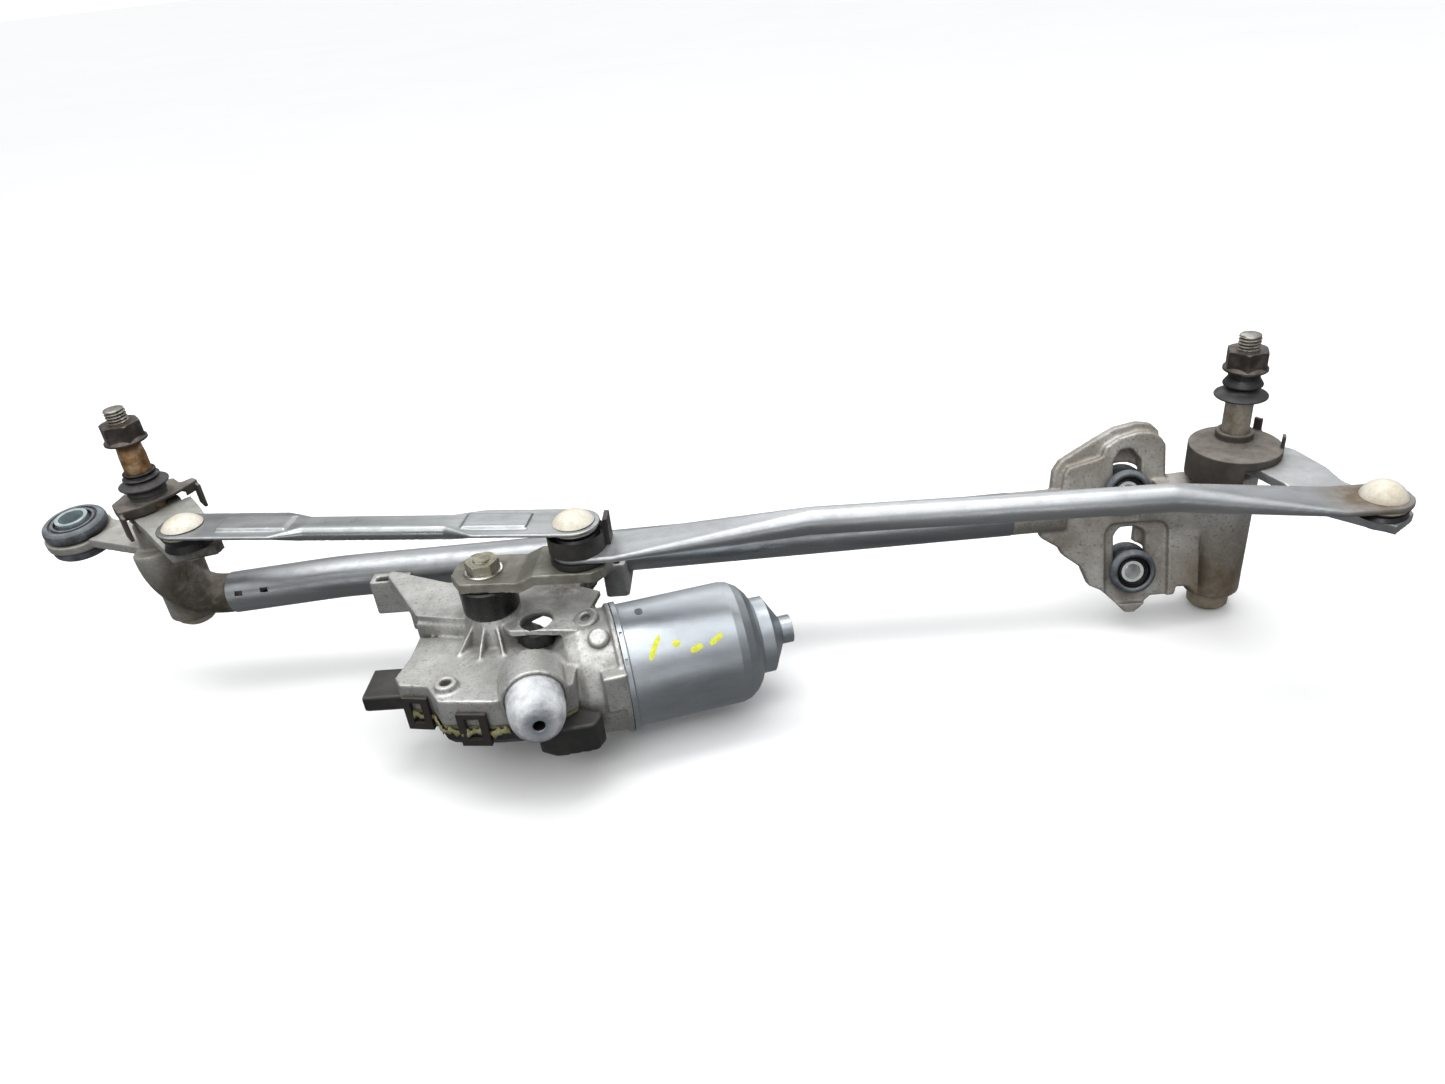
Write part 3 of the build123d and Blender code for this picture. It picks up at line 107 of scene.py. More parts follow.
# ------------------------------------------------------------ materials
class Graph:
    """Short calls for building one material's nodes."""

    def __init__(self, name):
        self.material = bpy.data.materials.new(name)
        self.material.use_nodes = True
        self.tree = self.material.node_tree
        self.shader = self.tree.nodes["Principled BSDF"]
        self.place = self.add("ShaderNodeTexCoord").outputs["Object"]

    def add(self, kind, **settings):
        """New node with its settings."""
        node = self.tree.nodes.new(kind)
        for key, value in settings.items():
            setattr(node, key, value)
        return node

    def join(self, source, target):
        """Link from an output to an input."""
        self.tree.links.new(source, target)

    def feed(self, target, value):
        """Gives an input a number, a colour or a link."""
        if isinstance(value, (int, float)):
            target.default_value = value
        elif isinstance(value, tuple):
            target.default_value = (*value, 1.0)
        else:
            self.join(value, target)

    def noise(self, scale, detail=4.0, rough=0.55, stretch=None, offset=0.0):
        """Noise at a place of its own; stretch is a scale for each axis and a turn about z."""
        node = self.add("ShaderNodeTexNoise")
        node.inputs["Scale"].default_value = scale
        node.inputs["Detail"].default_value = detail
        node.inputs["Roughness"].default_value = rough
        mapping = self.add("ShaderNodeMapping")
        mapping.inputs["Location"].default_value = (offset, offset * 0.7, -offset)
        if stretch:
            mapping.inputs["Rotation"].default_value = (0, 0, stretch[1])
            mapping.inputs["Scale"].default_value = stretch[0]
        self.join(self.place, mapping.inputs["Vector"])
        self.join(mapping.outputs["Vector"], node.inputs["Vector"])
        return node.outputs["Fac"]

    def span(self, value, low, high, to_low=0.0, to_high=1.0):
        """Value from low..high mapped to to_low..to_high and held inside it."""
        node = self.add("ShaderNodeMapRange", clamp=True)
        self.join(value, node.inputs["Value"])
        for key, number in zip(("From Min", "From Max", "To Min", "To Max"),
                               (low, high, to_low, to_high)):
            node.inputs[key].default_value = number
        return node.outputs["Result"]

    def maths(self, kind, first, second):
        """Sum, held to 0..1, or product of two values."""
        node = self.add("ShaderNodeMath", operation=kind, use_clamp=kind == "ADD")
        for target, value in zip(node.inputs, (first, second)):
            self.feed(target, value)
        return node.outputs[0]

    def blend(self, factor, first, second, kind="MIX"):
        """Colour between two colours."""
        node = self.add("ShaderNodeMix", data_type="RGBA", blend_type=kind)
        for target, value in zip((node.inputs[0], node.inputs[6], node.inputs[7]),
                                 (factor, first, second)):
            self.feed(target, value)
        return node.outputs[2]

    def mix_value(self, factor, first, second):
        """Number between two numbers."""
        node = self.add("ShaderNodeMix", data_type="FLOAT")
        for target, value in zip((node.inputs[0], node.inputs[2], node.inputs[3]),
                                 (factor, first, second)):
            self.feed(target, value)
        return node.outputs[0]

    def ramp(self, value, stops):
        """Colour from a value and (position, colour) stops."""
        node = self.add("ShaderNodeValToRGB")
        while len(node.color_ramp.elements) < len(stops):
            node.color_ramp.elements.new(0.5)
        for element, (position, colour) in zip(node.color_ramp.elements, stops):
            element.position = position
            element.color = (*colour, 1.0)
        self.join(value, node.inputs["Fac"])
        return node.outputs["Color"]


class Surface(Graph):
    """Material under construction: a colour, a roughness and a metallic value, and films on them."""

    def __init__(self, name, metal):
        super().__init__(name)
        self.metal = metal
        self.metallic = metal

    def paint_base(self, colours, rough, scale, grain, streak):
        """Broad blotches of the colours, darkened by a fine grain."""
        self.broad = self.noise(scale, 6.0, 0.6, streak)
        self.fine = self.noise(grain, 3.0, 0.6)
        gaps = max(1, len(colours) - 1)
        stops = [(0.32 + 0.36 * i / gaps, colour) for i, colour in enumerate(colours)]
        tone = self.span(self.fine, 0.3, 0.7, 0.82, 1.0)
        self.colour = self.blend(1.0, self.ramp(self.broad, stops), tone, "MULTIPLY")
        gloss = self.noise(scale * 2.3, 5.0, 0.65, streak, offset=3.1)
        self.roughness = self.span(gloss, 0.3, 0.7, *rough)

    def cover(self, mask, colour, roughness, metallic):
        """Film with looks of its own where the mask is 1."""
        self.colour = self.blend(mask, self.colour, colour)
        self.roughness = self.mix_value(mask, self.roughness, roughness)
        self.metallic = self.mix_value(mask, self.metallic, metallic)

    def add_stain_and_shadow(self, colour, centre, reach):
        """Cloudy dark patch round a point, centre and reach in mm: a real discolouration on most
        materials, a painted shadow under the crank arm on the gear case.
        """
        away = self.add("ShaderNodeVectorMath", operation="DISTANCE")
        self.join(self.place, away.inputs[0])
        away.inputs[1].default_value = [part * MM for part in centre]
        near = self.span(away.outputs["Value"], reach * 0.35 * MM, reach * MM, 1.0, 0.0)
        cloud = self.span(self.noise(110, 8.0, 0.7, offset=7.7), 0.3, 0.55, 0.55, 1.0)
        self.cover(self.maths("MULTIPLY", near, cloud), colour, 0.62, self.metal * 0.35)

    def add_specks(self, colour):
        """Small spots all over."""
        dots = self.span(self.noise(700, 2.0, 0.5, offset=1.3), 0.60, 0.66)
        self.colour = self.blend(self.maths("MULTIPLY", dots, 0.6), self.colour, colour)

    def add_dirt_and_shade(self, colour, amount, scale):
        """Painted shade in the hollows, where the occlusion finds them shut in, and grime in patches
        elsewhere, both in the one colour.
        """
        hollow = self.add("ShaderNodeAmbientOcclusion", samples=6)
        hollow.inputs["Distance"].default_value = 7 * MM
        # Painted shade: hollows that the occlusion finds shut in get the grime colour.
        hollow_shade = self.span(hollow.outputs["AO"], 0.35, 0.95, 1.0, 0.0)
        patch = self.span(self.noise(scale * 2.0, 7.0, 0.7, offset=5.0), 0.38, 0.62)
        both = self.maths("ADD", self.maths("MULTIPLY", hollow_shade, 0.9),
                          self.maths("MULTIPLY", patch, 0.45))
        mask = self.span(self.maths("MULTIPLY", both, amount), 0.05, 0.75)
        self.cover(mask, colour, 0.75, self.metal * 0.15)

    def add_dust(self, colour, amount, scale):
        """Dust on the faces that look up."""
        facing = self.add("ShaderNodeSeparateXYZ")
        self.join(self.add("ShaderNodeNewGeometry").outputs["Normal"], facing.inputs[0])
        top = self.span(facing.outputs["Z"], 0.2, 0.95)
        spread = self.span(self.noise(scale * 3.0, 8.0, 0.75, offset=9.0), 0.35, 0.65, 0.25, 1.0)
        mask = self.maths("MULTIPLY", self.maths("MULTIPLY", top, spread), amount)
        self.cover(mask, colour, 0.9, 0.0)

    def add_relief(self, bump, round_edge):
        """Slight roughness of the skin, and edges rounded by round_edge mm."""
        relief = self.add("ShaderNodeBump")
        relief.inputs["Strength"].default_value = bump
        relief.inputs["Distance"].default_value = 0.4 * MM
        height = self.maths("ADD", self.maths("MULTIPLY", self.fine, 0.5),
                            self.maths("MULTIPLY", self.broad, 0.5))
        self.join(height, relief.inputs["Height"])
        if round_edge:
            edge = self.add("ShaderNodeBevel", samples=4)
            edge.inputs["Radius"].default_value = round_edge * MM
            self.join(edge.outputs["Normal"], relief.inputs["Normal"])
        self.join(relief.outputs["Normal"], self.shader.inputs["Normal"])


def make_material(name, colours, metal=1.0, rough=(0.3, 0.5), scale=30, grain=1500, bump=0.12,
                  streak=None, dirt_and_shade=None, dirt_and_shade_amount=0.0, dust=None, dust_amount=0.0, round_edge=0.3,
                  coat=0.0, stain_and_shadow=None, stain_and_shadow_at=None, stain_and_shadow_reach=0.0, speck=None):
    """Blotched and grained surface with a dark patch (a painted shadow on the gear case), specks,
    painted shade in its hollows, grime in patches and dust on top.
    """
    surface = Surface(name, metal)
    surface.paint_base(colours, rough, scale, grain, streak)
    # A discoloured patch on most materials; on the gear case it is a painted shadow under the crank arm.
    if stain_and_shadow:
        surface.add_stain_and_shadow(stain_and_shadow, stain_and_shadow_at, stain_and_shadow_reach)
    if speck:
        surface.add_specks(speck)
    # Painted shade in the hollows, and grime in patches elsewhere.
    if dirt_and_shade:
        surface.add_dirt_and_shade(dirt_and_shade, dirt_and_shade_amount, scale)
    if dust:
        surface.add_dust(dust, dust_amount, scale)
    surface.add_relief(bump, round_edge)
    surface.feed(surface.shader.inputs["Base Color"], surface.colour)
    surface.feed(surface.shader.inputs["Roughness"], surface.roughness)
    surface.feed(surface.shader.inputs["Metallic"], surface.metallic)
    surface.shader.inputs["Coat Weight"].default_value = coat
    return surface.material


# A streak is a scale for each axis and a turn about z, as Graph.noise takes it.
LINK_STREAK = ((0.12, 1.0, 1.0), radians(5))
WORM_STREAK = ((0.35, 1.0, 1.0), radians(-15))
BROWN = (0.085, 0.062, 0.042)
MATERIALS = {
    "tube": make_material("tube_zinc", [(0.27, 0.29, 0.31), (0.40, 0.42, 0.44), (0.56, 0.58, 0.60)],
                          rough=(0.22, 0.40), scale=55, streak=LINK_STREAK, grain=2600, bump=0.10,
                          dirt_and_shade=BROWN, dirt_and_shade_amount=0.35, dust=(0.30, 0.28, 0.25), dust_amount=0.18),
    "link": make_material("link_zinc", [(0.27, 0.29, 0.30), (0.38, 0.40, 0.41), (0.52, 0.54, 0.55)],
                          rough=(0.20, 0.38), scale=60, streak=LINK_STREAK, grain=2800, bump=0.10,
                          dirt_and_shade=BROWN, dirt_and_shade_amount=0.30, dust=(0.34, 0.32, 0.29), dust_amount=0.16),
    "right_link": make_material("right_link_zinc", [(0.38, 0.40, 0.42), (0.50, 0.52, 0.54),
                                                    (0.64, 0.66, 0.68)],
                                rough=(0.30, 0.46), scale=60, streak=LINK_STREAK, grain=2800,
                                bump=0.10, dirt_and_shade=BROWN, dirt_and_shade_amount=0.30, dust=(0.34, 0.32, 0.29),
                                dust_amount=0.16,
                                stain_and_shadow=(0.13, 0.09, 0.05), stain_and_shadow_at=(569, -68, -55), stain_and_shadow_reach=26),
    "yoke": make_material("yoke_zinc", [(0.44, 0.48, 0.52), (0.56, 0.60, 0.64), (0.66, 0.70, 0.73)],
                          rough=(0.30, 0.42), scale=34, streak=WORM_STREAK, grain=3500, bump=0.10,
                          dirt_and_shade=(0.10, 0.09, 0.08), dirt_and_shade_amount=0.22, dust=(0.42, 0.42, 0.41),
                          dust_amount=0.14),
    # Gear case: its dark patch is a painted shadow under the crank arm, and its hollows get painted
    # shade.
    "cast": make_material("cast_aluminium", [(0.50, 0.50, 0.48), (0.64, 0.64, 0.62),
                                             (0.78, 0.78, 0.76)],
                          rough=(0.36, 0.56), scale=42, grain=1100, bump=0.34,
                          dirt_and_shade=(0.09, 0.082, 0.068), dirt_and_shade_amount=0.62,
                          dust=(0.46, 0.44, 0.40), dust_amount=0.16,
                          stain_and_shadow=(0.045, 0.041, 0.035), stain_and_shadow_at=(211, -33, -98), stain_and_shadow_reach=38,
                          speck=(0.30, 0.29, 0.27), round_edge=0.0),
    "cast_left": make_material("cast_grimy", [(0.46, 0.45, 0.42), (0.60, 0.59, 0.56),
                                              (0.72, 0.72, 0.69)],
                               metal=0.85, rough=(0.40, 0.60), scale=38, grain=1000, bump=0.42,
                               dirt_and_shade=(0.07, 0.055, 0.035), dirt_and_shade_amount=0.65, dust=(0.36, 0.34, 0.29),
                               dust_amount=0.25, stain_and_shadow=(0.070, 0.056, 0.038),
                               stain_and_shadow_at=(20, -14, -92), stain_and_shadow_reach=46, round_edge=0.0),
    "cast_right": make_material("cast_weathered", [(0.34, 0.31, 0.27), (0.50, 0.48, 0.44),
                                                   (0.68, 0.67, 0.64)],
                                metal=0.85, rough=(0.40, 0.62), scale=36, grain=1000, bump=0.38,
                                dirt_and_shade=(0.12, 0.095, 0.07), dirt_and_shade_amount=0.55,
                                dust=(0.36, 0.33, 0.28), dust_amount=0.25,
                                stain_and_shadow=(0.17, 0.13, 0.085), stain_and_shadow_at=(536, -16, -134), stain_and_shadow_reach=34,
                                speck=(0.22, 0.19, 0.15), round_edge=0.0),
    "flange": make_material("flange_zinc", [(0.60, 0.59, 0.54), (0.74, 0.73, 0.69),
                                            (0.84, 0.83, 0.80)],
                            rough=(0.16, 0.30), scale=200, grain=2200, bump=0.1),
    "tan_cap": make_material("tan_cap", [(0.26, 0.21, 0.15), (0.40, 0.34, 0.26), (0.52, 0.46, 0.38)],
                             metal=0.0, rough=(0.5, 0.7), scale=60, grain=1300, bump=0.2,
                             dirt_and_shade=(0.10, 0.075, 0.05), dirt_and_shade_amount=0.5),
    "crank": make_material("crank_steel", [(0.27, 0.26, 0.22), (0.40, 0.39, 0.34), (0.54, 0.53, 0.48)],
                           rough=(0.34, 0.52), scale=60, grain=1600, bump=0.2, dirt_and_shade=(0.06, 0.05, 0.03),
                           dirt_and_shade_amount=0.5, dust=(0.26, 0.25, 0.20), dust_amount=0.35),
    "lever": make_material("lever_steel", [(0.40, 0.42, 0.44), (0.55, 0.57, 0.59),
                                           (0.68, 0.70, 0.72)],
                           rough=(0.28, 0.46), scale=45, grain=1900, bump=0.14, dirt_and_shade=BROWN,
                           dirt_and_shade_amount=0.4, dust=(0.33, 0.31, 0.28), dust_amount=0.3),
    "grimy_lever": make_material("grimy_lever", [(0.34, 0.34, 0.31), (0.50, 0.50, 0.47),
                                                 (0.62, 0.62, 0.60)],
                                 metal=0.85, rough=(0.34, 0.55), scale=60, grain=1500, bump=0.25,
                                 dirt_and_shade=(0.06, 0.05, 0.035), dirt_and_shade_amount=0.6,
                                 dust=(0.42, 0.41, 0.37), dust_amount=0.4,
                                 stain_and_shadow=(0.06, 0.05, 0.038), stain_and_shadow_at=(52, -50, -52), stain_and_shadow_reach=20),
    "nut": make_material("dark_nut", [(0.05, 0.040, 0.034), (0.085, 0.070, 0.062), (0.17, 0.15, 0.13)],
                         metal=0.7, rough=(0.28, 0.5), scale=160, grain=2200, bump=0.25,
                         dust=(0.20, 0.17, 0.14), dust_amount=0.25, round_edge=0.5),
    "bright_nut": make_material("dirty_nut", [(0.42, 0.38, 0.28), (0.60, 0.56, 0.44),
                                              (0.72, 0.70, 0.62)],
                                rough=(0.25, 0.45), scale=200, grain=2200, bump=0.2, dirt_and_shade=BROWN,
                                dirt_and_shade_amount=0.45, dust=(0.34, 0.31, 0.22), dust_amount=0.22,
                                round_edge=0.4),
    "plain": make_material("plain_steel", [(0.50, 0.50, 0.50), (0.64, 0.64, 0.63), (0.75, 0.75, 0.74)],
                           rough=(0.2, 0.38), scale=120, grain=2500, bump=0.1, dirt_and_shade=BROWN,
                           dirt_and_shade_amount=0.3),
    "sleeve": make_material("blue_zinc", [(0.40, 0.50, 0.52), (0.55, 0.65, 0.67), (0.80, 0.85, 0.85)],
                            metal=0.6, rough=(0.14, 0.28), scale=160, grain=2500, bump=0.06,
                            round_edge=0.2),
    "bronze": make_material("sintered_bronze", [(0.42, 0.28, 0.13), (0.58, 0.42, 0.22)],
                            rough=(0.35, 0.5), scale=200, grain=2600, bump=0.2),
    "copper": make_material("bare_copper", [(0.62, 0.30, 0.16), (0.78, 0.44, 0.27)],
                            rough=(0.22, 0.4), scale=200, grain=2600, bump=0.2),
    "boot": make_material("boot_rubber", [(0.022, 0.020, 0.022), (0.045, 0.041, 0.046),
                                          (0.085, 0.078, 0.085)],
                          metal=0.0, rough=(0.30, 0.55), scale=120, grain=1500, bump=0.2,
                          dirt_and_shade=(0.010, 0.008, 0.007), dirt_and_shade_amount=0.7,
                          dust=(0.17, 0.15, 0.14), dust_amount=0.3, round_edge=0.0),
    "black_boot": make_material("black_boot_rubber", [(0.008, 0.008, 0.009), (0.016, 0.016, 0.018),
                                                      (0.035, 0.034, 0.036)],
                                metal=0.0, rough=(0.25, 0.5), scale=120, grain=1500, bump=0.2,
                                dust=(0.10, 0.09, 0.085), dust_amount=0.22, round_edge=0.0),
    "black_rubber": make_material("black_rubber", [(0.003, 0.003, 0.003), (0.006, 0.006, 0.006),
                                                   (0.014, 0.013, 0.012)],
                                  metal=0.0, rough=(0.20, 0.42), scale=90, grain=1500, bump=0.15,
                                  dust=(0.06, 0.052, 0.042), dust_amount=0.1),
    "grommet": make_material("grommet_rubber", [(0.050, 0.057, 0.066), (0.10, 0.115, 0.13),
                                                (0.20, 0.225, 0.25)],
                             metal=0.0, rough=(0.34, 0.6), scale=110, grain=1400, bump=0.25,
                             dirt_and_shade=(0.016, 0.017, 0.018), dirt_and_shade_amount=0.75,
                             dust=(0.36, 0.38, 0.41), dust_amount=0.32, round_edge=0.0),
    "plug": make_material("dusted_rubber", [(0.20, 0.22, 0.25), (0.50, 0.52, 0.54),
                                            (0.78, 0.79, 0.80)],
                          metal=0.0, rough=(0.6, 0.85), scale=95, grain=1200, bump=0.25,
                          dust=(0.76, 0.77, 0.78), dust_amount=0.5, stain_and_shadow=(0.16, 0.18, 0.21),
                          stain_and_shadow_at=(211, -130, -99.4), stain_and_shadow_reach=8, round_edge=0.0),
    "white": make_material("aged_nylon", [(0.64, 0.58, 0.44), (0.76, 0.72, 0.61), (0.82, 0.80, 0.73)],
                           metal=0.0, rough=(0.26, 0.42), scale=70, grain=900, bump=0.08, coat=0.15,
                           dirt_and_shade=(0.42, 0.30, 0.17), dirt_and_shade_amount=0.45, round_edge=0.2),
    "acetal": make_material("acetal", [(0.78, 0.76, 0.70), (0.88, 0.87, 0.82)], metal=0.0,
                            rough=(0.3, 0.45), scale=90, grain=1200, bump=0.08),
    "black": make_material("black_plastic", [(0.012, 0.012, 0.012), (0.022, 0.021, 0.020),
                                             (0.05, 0.046, 0.042)],
                           metal=0.0, rough=(0.30, 0.55), scale=60, grain=1500, bump=0.2,
                           dust=(0.12, 0.105, 0.085), dust_amount=0.15, round_edge=0.3),
    "cover": make_material("dusty_cover", [(0.035, 0.029, 0.024), (0.060, 0.050, 0.042),
                                           (0.10, 0.088, 0.075)],
                           metal=0.0, rough=(0.5, 0.72), scale=55, grain=1400, bump=0.3,
                           dirt_and_shade=(0.022, 0.017, 0.012), dirt_and_shade_amount=0.5, dust=(0.27, 0.245, 0.215),
                           dust_amount=0.72, round_edge=0.0),
    "clip": make_material("clip_plastic", [(0.018, 0.015, 0.012), (0.032, 0.027, 0.022)], metal=0.0,
                          rough=(0.4, 0.6), scale=60, grain=1500, bump=0.2,
                          dust=(0.15, 0.13, 0.10), dust_amount=0.3),
    "sealant": make_material("sealant", [(0.13, 0.12, 0.05), (0.28, 0.265, 0.12), (0.44, 0.42, 0.24)],
                             metal=0.0, rough=(0.5, 0.8), scale=260, grain=900, bump=0.8,
                             dirt_and_shade=(0.06, 0.05, 0.03), dirt_and_shade_amount=0.5, round_edge=0.0),
    "rust": make_material("rusty_shaft", [(0.20, 0.09, 0.035), (0.44, 0.25, 0.11), (0.66, 0.52, 0.38)],
                          metal=0.75, rough=(0.3, 0.55), scale=190, grain=1800, bump=0.3,
                          dirt_and_shade=(0.06, 0.04, 0.02), dirt_and_shade_amount=0.4, round_edge=0.15),
    "beige": make_material("dull_shaft", [(0.34, 0.29, 0.22), (0.52, 0.47, 0.39), (0.68, 0.65, 0.58)],
                           metal=0.85, rough=(0.28, 0.48), scale=150, grain=1800, bump=0.25,
                           dirt_and_shade=(0.06, 0.045, 0.03), dirt_and_shade_amount=0.4, round_edge=0.15),
    "thread": make_material("bright_thread", [(0.30, 0.28, 0.24), (0.44, 0.42, 0.38),
                                              (0.58, 0.56, 0.53)],
                            rough=(0.22, 0.38), scale=300, grain=2500, bump=0.06,
                            dirt_and_shade=(0.06, 0.045, 0.03), dirt_and_shade_amount=0.8, round_edge=0.0),
    "white_zinc": make_material("white_zinc", [(0.55, 0.60, 0.60), (0.74, 0.78, 0.77),
                                               (0.88, 0.91, 0.90)],
                                metal=0.35, rough=(0.25, 0.4), scale=160, grain=2500, bump=0.06,
                                round_edge=0.2),
    "paint": make_material("yellow_paint", [(0.62, 0.66, 0.02), (0.80, 0.82, 0.04),
                                            (0.90, 0.90, 0.16)],
                           metal=0.0, rough=(0.4, 0.6), scale=500, grain=1500, bump=0.15,
                           round_edge=0.0),
    "dark_spot": make_material("pressed_spot", [(0.16, 0.17, 0.18), (0.26, 0.27, 0.28)], metal=0.8,
                               rough=(0.4, 0.6), scale=400, grain=2500, bump=0.2, round_edge=0.0),
    "magnet": make_material("ferrite", [(0.05, 0.05, 0.055), (0.09, 0.09, 0.095)], metal=0.2,
                            rough=(0.4, 0.6), scale=90, grain=1500, bump=0.2),
    "phenolic": make_material("phenolic", [(0.12, 0.05, 0.025), (0.2, 0.09, 0.05)], metal=0.0,
                              rough=(0.35, 0.55), scale=90, grain=1500, bump=0.2),
    "iron": make_material("laminations", [(0.18, 0.18, 0.19), (0.30, 0.30, 0.31)], metal=0.9,
                          rough=(0.35, 0.55), scale=90, grain=1500, bump=0.2),
}

LOOKS = {
    "frame_tube": "tube", "left_housing": "cast_left", "right_housing": "cast_right",
    "left_grommet": "grommet", "right_upper_grommet": "grommet", "right_lower_grommet": "grommet",
    "left_sleeve": "sleeve", "right_upper_sleeve": "white_zinc", "right_lower_sleeve": "white_zinc",
    "gear_case": "cast", "output_bushes": "bronze", "crank_boot": "black_rubber",
    "rubber_mount": "plug", "hole_sleeve": "black_rubber", "case_sealant": "sealant",
    "case_bottom_cover": "black", "case_clips": "clip", "connector_housing": "black",
    "connector_blades": "copper", "motor_yoke": "yoke", "field_magnets": "magnet",
    "motor_bearings": "bronze", "brush_gear": "phenolic", "left_spindle_bushes": "bronze",
    "right_spindle_bushes": "bronze", "left_end_cap": "tan_cap", "right_end_cap": "tan_cap",
    "left_spindle": "rust", "left_arm_nut": "nut", "left_shaft_boot": "boot",
    "left_spindle_stops": "plain", "left_lever": "grimy_lever", "left_lever_stud": "plain",
    "left_lever_cover": "cover", "right_spindle": "beige", "right_arm_nut": "nut",
    "right_shaft_boot": "black_boot", "right_spindle_stops": "cast_right", "right_lever": "lever",
    "right_lever_stud": "plain", "right_lever_cover": "cover", "crank_arm": "crank",
    "crank_nut": "bright_nut", "crank_ball_stud": "plain", "output_shaft": "bright_nut",
    "worm_wheel": "acetal", "left_link": "link", "left_link_sockets": "white",
    "left_link_seals": "black_rubber", "left_ball": "plain", "right_link": "right_link",
    "crank_lower_socket": "black", "right_link_socket": "white",
    "right_link_seal": "black_rubber", "right_ball": "plain", "armature_shaft": "plain",
    "commutator": "copper", "armature_core": "iron", "armature_windings": "copper",
}
for node_name, look in LOOKS.items():
    mesh = nodes[node_name].data
    mesh.materials.clear()
    mesh.materials.append(MATERIALS[look])


# ------------------------------------------------------------ tools for pieces
def stand_for(piece, node_name):
    """Puts a finished piece in place of a CAD node."""
    piece.data.materials.clear()
    piece.data.materials.append(MATERIALS[LOOKS[node_name]])
    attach(piece, nodes[node_name]["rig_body"])
    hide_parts(node_name)


def add_detail(piece, body, look):
    """Lets a small piece of its own ride on a body."""
    piece.data.materials.clear()
    piece.data.materials.append(MATERIALS[look])
    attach(piece, body)


def link_object(name, mesh):
    """New object in the scene."""
    piece = bpy.data.objects.new(name, mesh)
    bpy.context.scene.collection.objects.link(piece)
    return piece


def mesh_object(name, verts, faces, smooth=True):
    """New object from vertices in metres and their faces."""
    mesh = bpy.data.meshes.new(name)
    mesh.from_pydata(verts, [], faces)
    if smooth:
        mesh.shade_smooth()
    return link_object(name, mesh)


def grid_faces(rows, columns, close_rows=False, close_columns=False):
    """Quads over a grid of vertices that are numbered row by row."""
    faces = []
    for row in range(rows if close_rows else rows - 1):
        above = (row + 1) % rows
        for column in range(columns if close_columns else columns - 1):
            after = (column + 1) % columns
            faces.append((row * columns + column, row * columns + after,
                          above * columns + after, above * columns + column))
    return faces


def soften(node_name, voxel, rounds):
    """Remeshed copy of a CAD solid, smoothed so that its edges and corners get cast fillets."""
    piece = link_object("soft_" + node_name, nodes[node_name].data.copy())
    remesh = piece.modifiers.new("remesh", "REMESH")
    remesh.mode = "VOXEL"
    remesh.voxel_size = voxel * MM
    smooth = piece.modifiers.new("smooth", "SMOOTH")
    smooth.factor = 0.5
    smooth.iterations = rounds
    graph = bpy.context.evaluated_depsgraph_get()
    mesh = bpy.data.meshes.new_from_object(piece.evaluated_get(graph))
    piece.modifiers.clear()
    piece.data = mesh
    mesh.shade_smooth()
    stand_for(piece, node_name)


def frame_of(origin, axis):
    """Matrix whose z is the axis, at the origin given in mm."""
    turn = Vector(axis).normalized().to_track_quat("Z", "Y").to_matrix().to_4x4()
    return Matrix.Translation(Vector(origin) * MM) @ turn


def lathe(name, profile, place, segments=96, depth=None, sharp=32):
    """Surface of revolution from a closed loop of (radius, height) in mm; depth cuts a thread."""
    verts = []
    for radius, height in profile:
        for step in range(segments):
            angle = 2 * pi * step / segments
            r = radius - (depth(height, angle) if depth else 0)
            verts.append(place @ Vector((r * cos(angle) * MM, r * sin(angle) * MM, height * MM)))
    mesh = bpy.data.meshes.new(name)
    mesh.from_pydata(verts, [], grid_faces(len(profile), segments, True, True))
    work = bmesh.new()
    work.from_mesh(mesh)
    bmesh.ops.remove_doubles(work, verts=work.verts, dist=0.001 * MM)
    bmesh.ops.recalc_face_normals(work, faces=work.faces)
    work.to_mesh(mesh)
    work.free()
    mesh.shade_smooth()
    mesh.set_sharp_from_angle(angle=radians(sharp))
    return link_object(name, mesh)


def rounded(points, radius, steps=4):
    """Profile with its corners replaced by short arcs, but for the corners on the axis."""
    result = []
    count = len(points)
    for i, point in enumerate(points):
        here = Vector(point)
        before = Vector(points[i - 1]) - here
        after = Vector(points[(i + 1) % count]) - here
        on_axis = point[0] < 0.01
        if on_axis or not before.length or not after.length:
            result.append(tuple(here))
            continue
        cut = min(radius, before.length * 0.45, after.length * 0.45)
        start = here + before.normalized() * cut
        end = here + after.normalized() * cut
        for k in range(steps + 1):
            t = k / steps
            result.append(tuple((1 - t) ** 2 * start + 2 * t * (1 - t) * here + t * t * end))
    return result


def paint_shade_black(piece, centre, axis, radius, above):
    """Painted shade: black rubber on the faces within a radius of the axis and above a height, in mm,
    darkening folds, grooves and holes.
    """
    piece.data.materials.append(MATERIALS["black_rubber"])
    normal = Vector(axis).normalized()
    for face in piece.data.polygons:
        away = face.center / MM - Vector(centre)
        height = away.dot(normal)
        if height > above and (away - normal * height).length < radius:
            face.material_index = 1


# ------------------------------------------------------------ shafts
SHAFT_R = 6.25
THREAD_R = 5.0
THREAD_PITCH = 1.5
THREAD_DEPTH = 0.85
THREAD_RISE = 7.0
THREAD_ROWS = 120
CHAMFER_ROW = 108  # the thread's end is chamfered from this row on


def thread_depth(rise, angle):
    """Depth of the thread's groove at a height above the nut and an angle round the shaft."""
    if not 0.05 <= rise <= THREAD_RISE - 0.3:
        return 0.0
    phase = (rise / THREAD_PITCH - angle / (2 * pi)) % 1.0
    run_out = min(1.0, (THREAD_RISE - rise) / 0.6)
    return THREAD_DEPTH * (1 - abs(2 * phase - 1)) * run_out


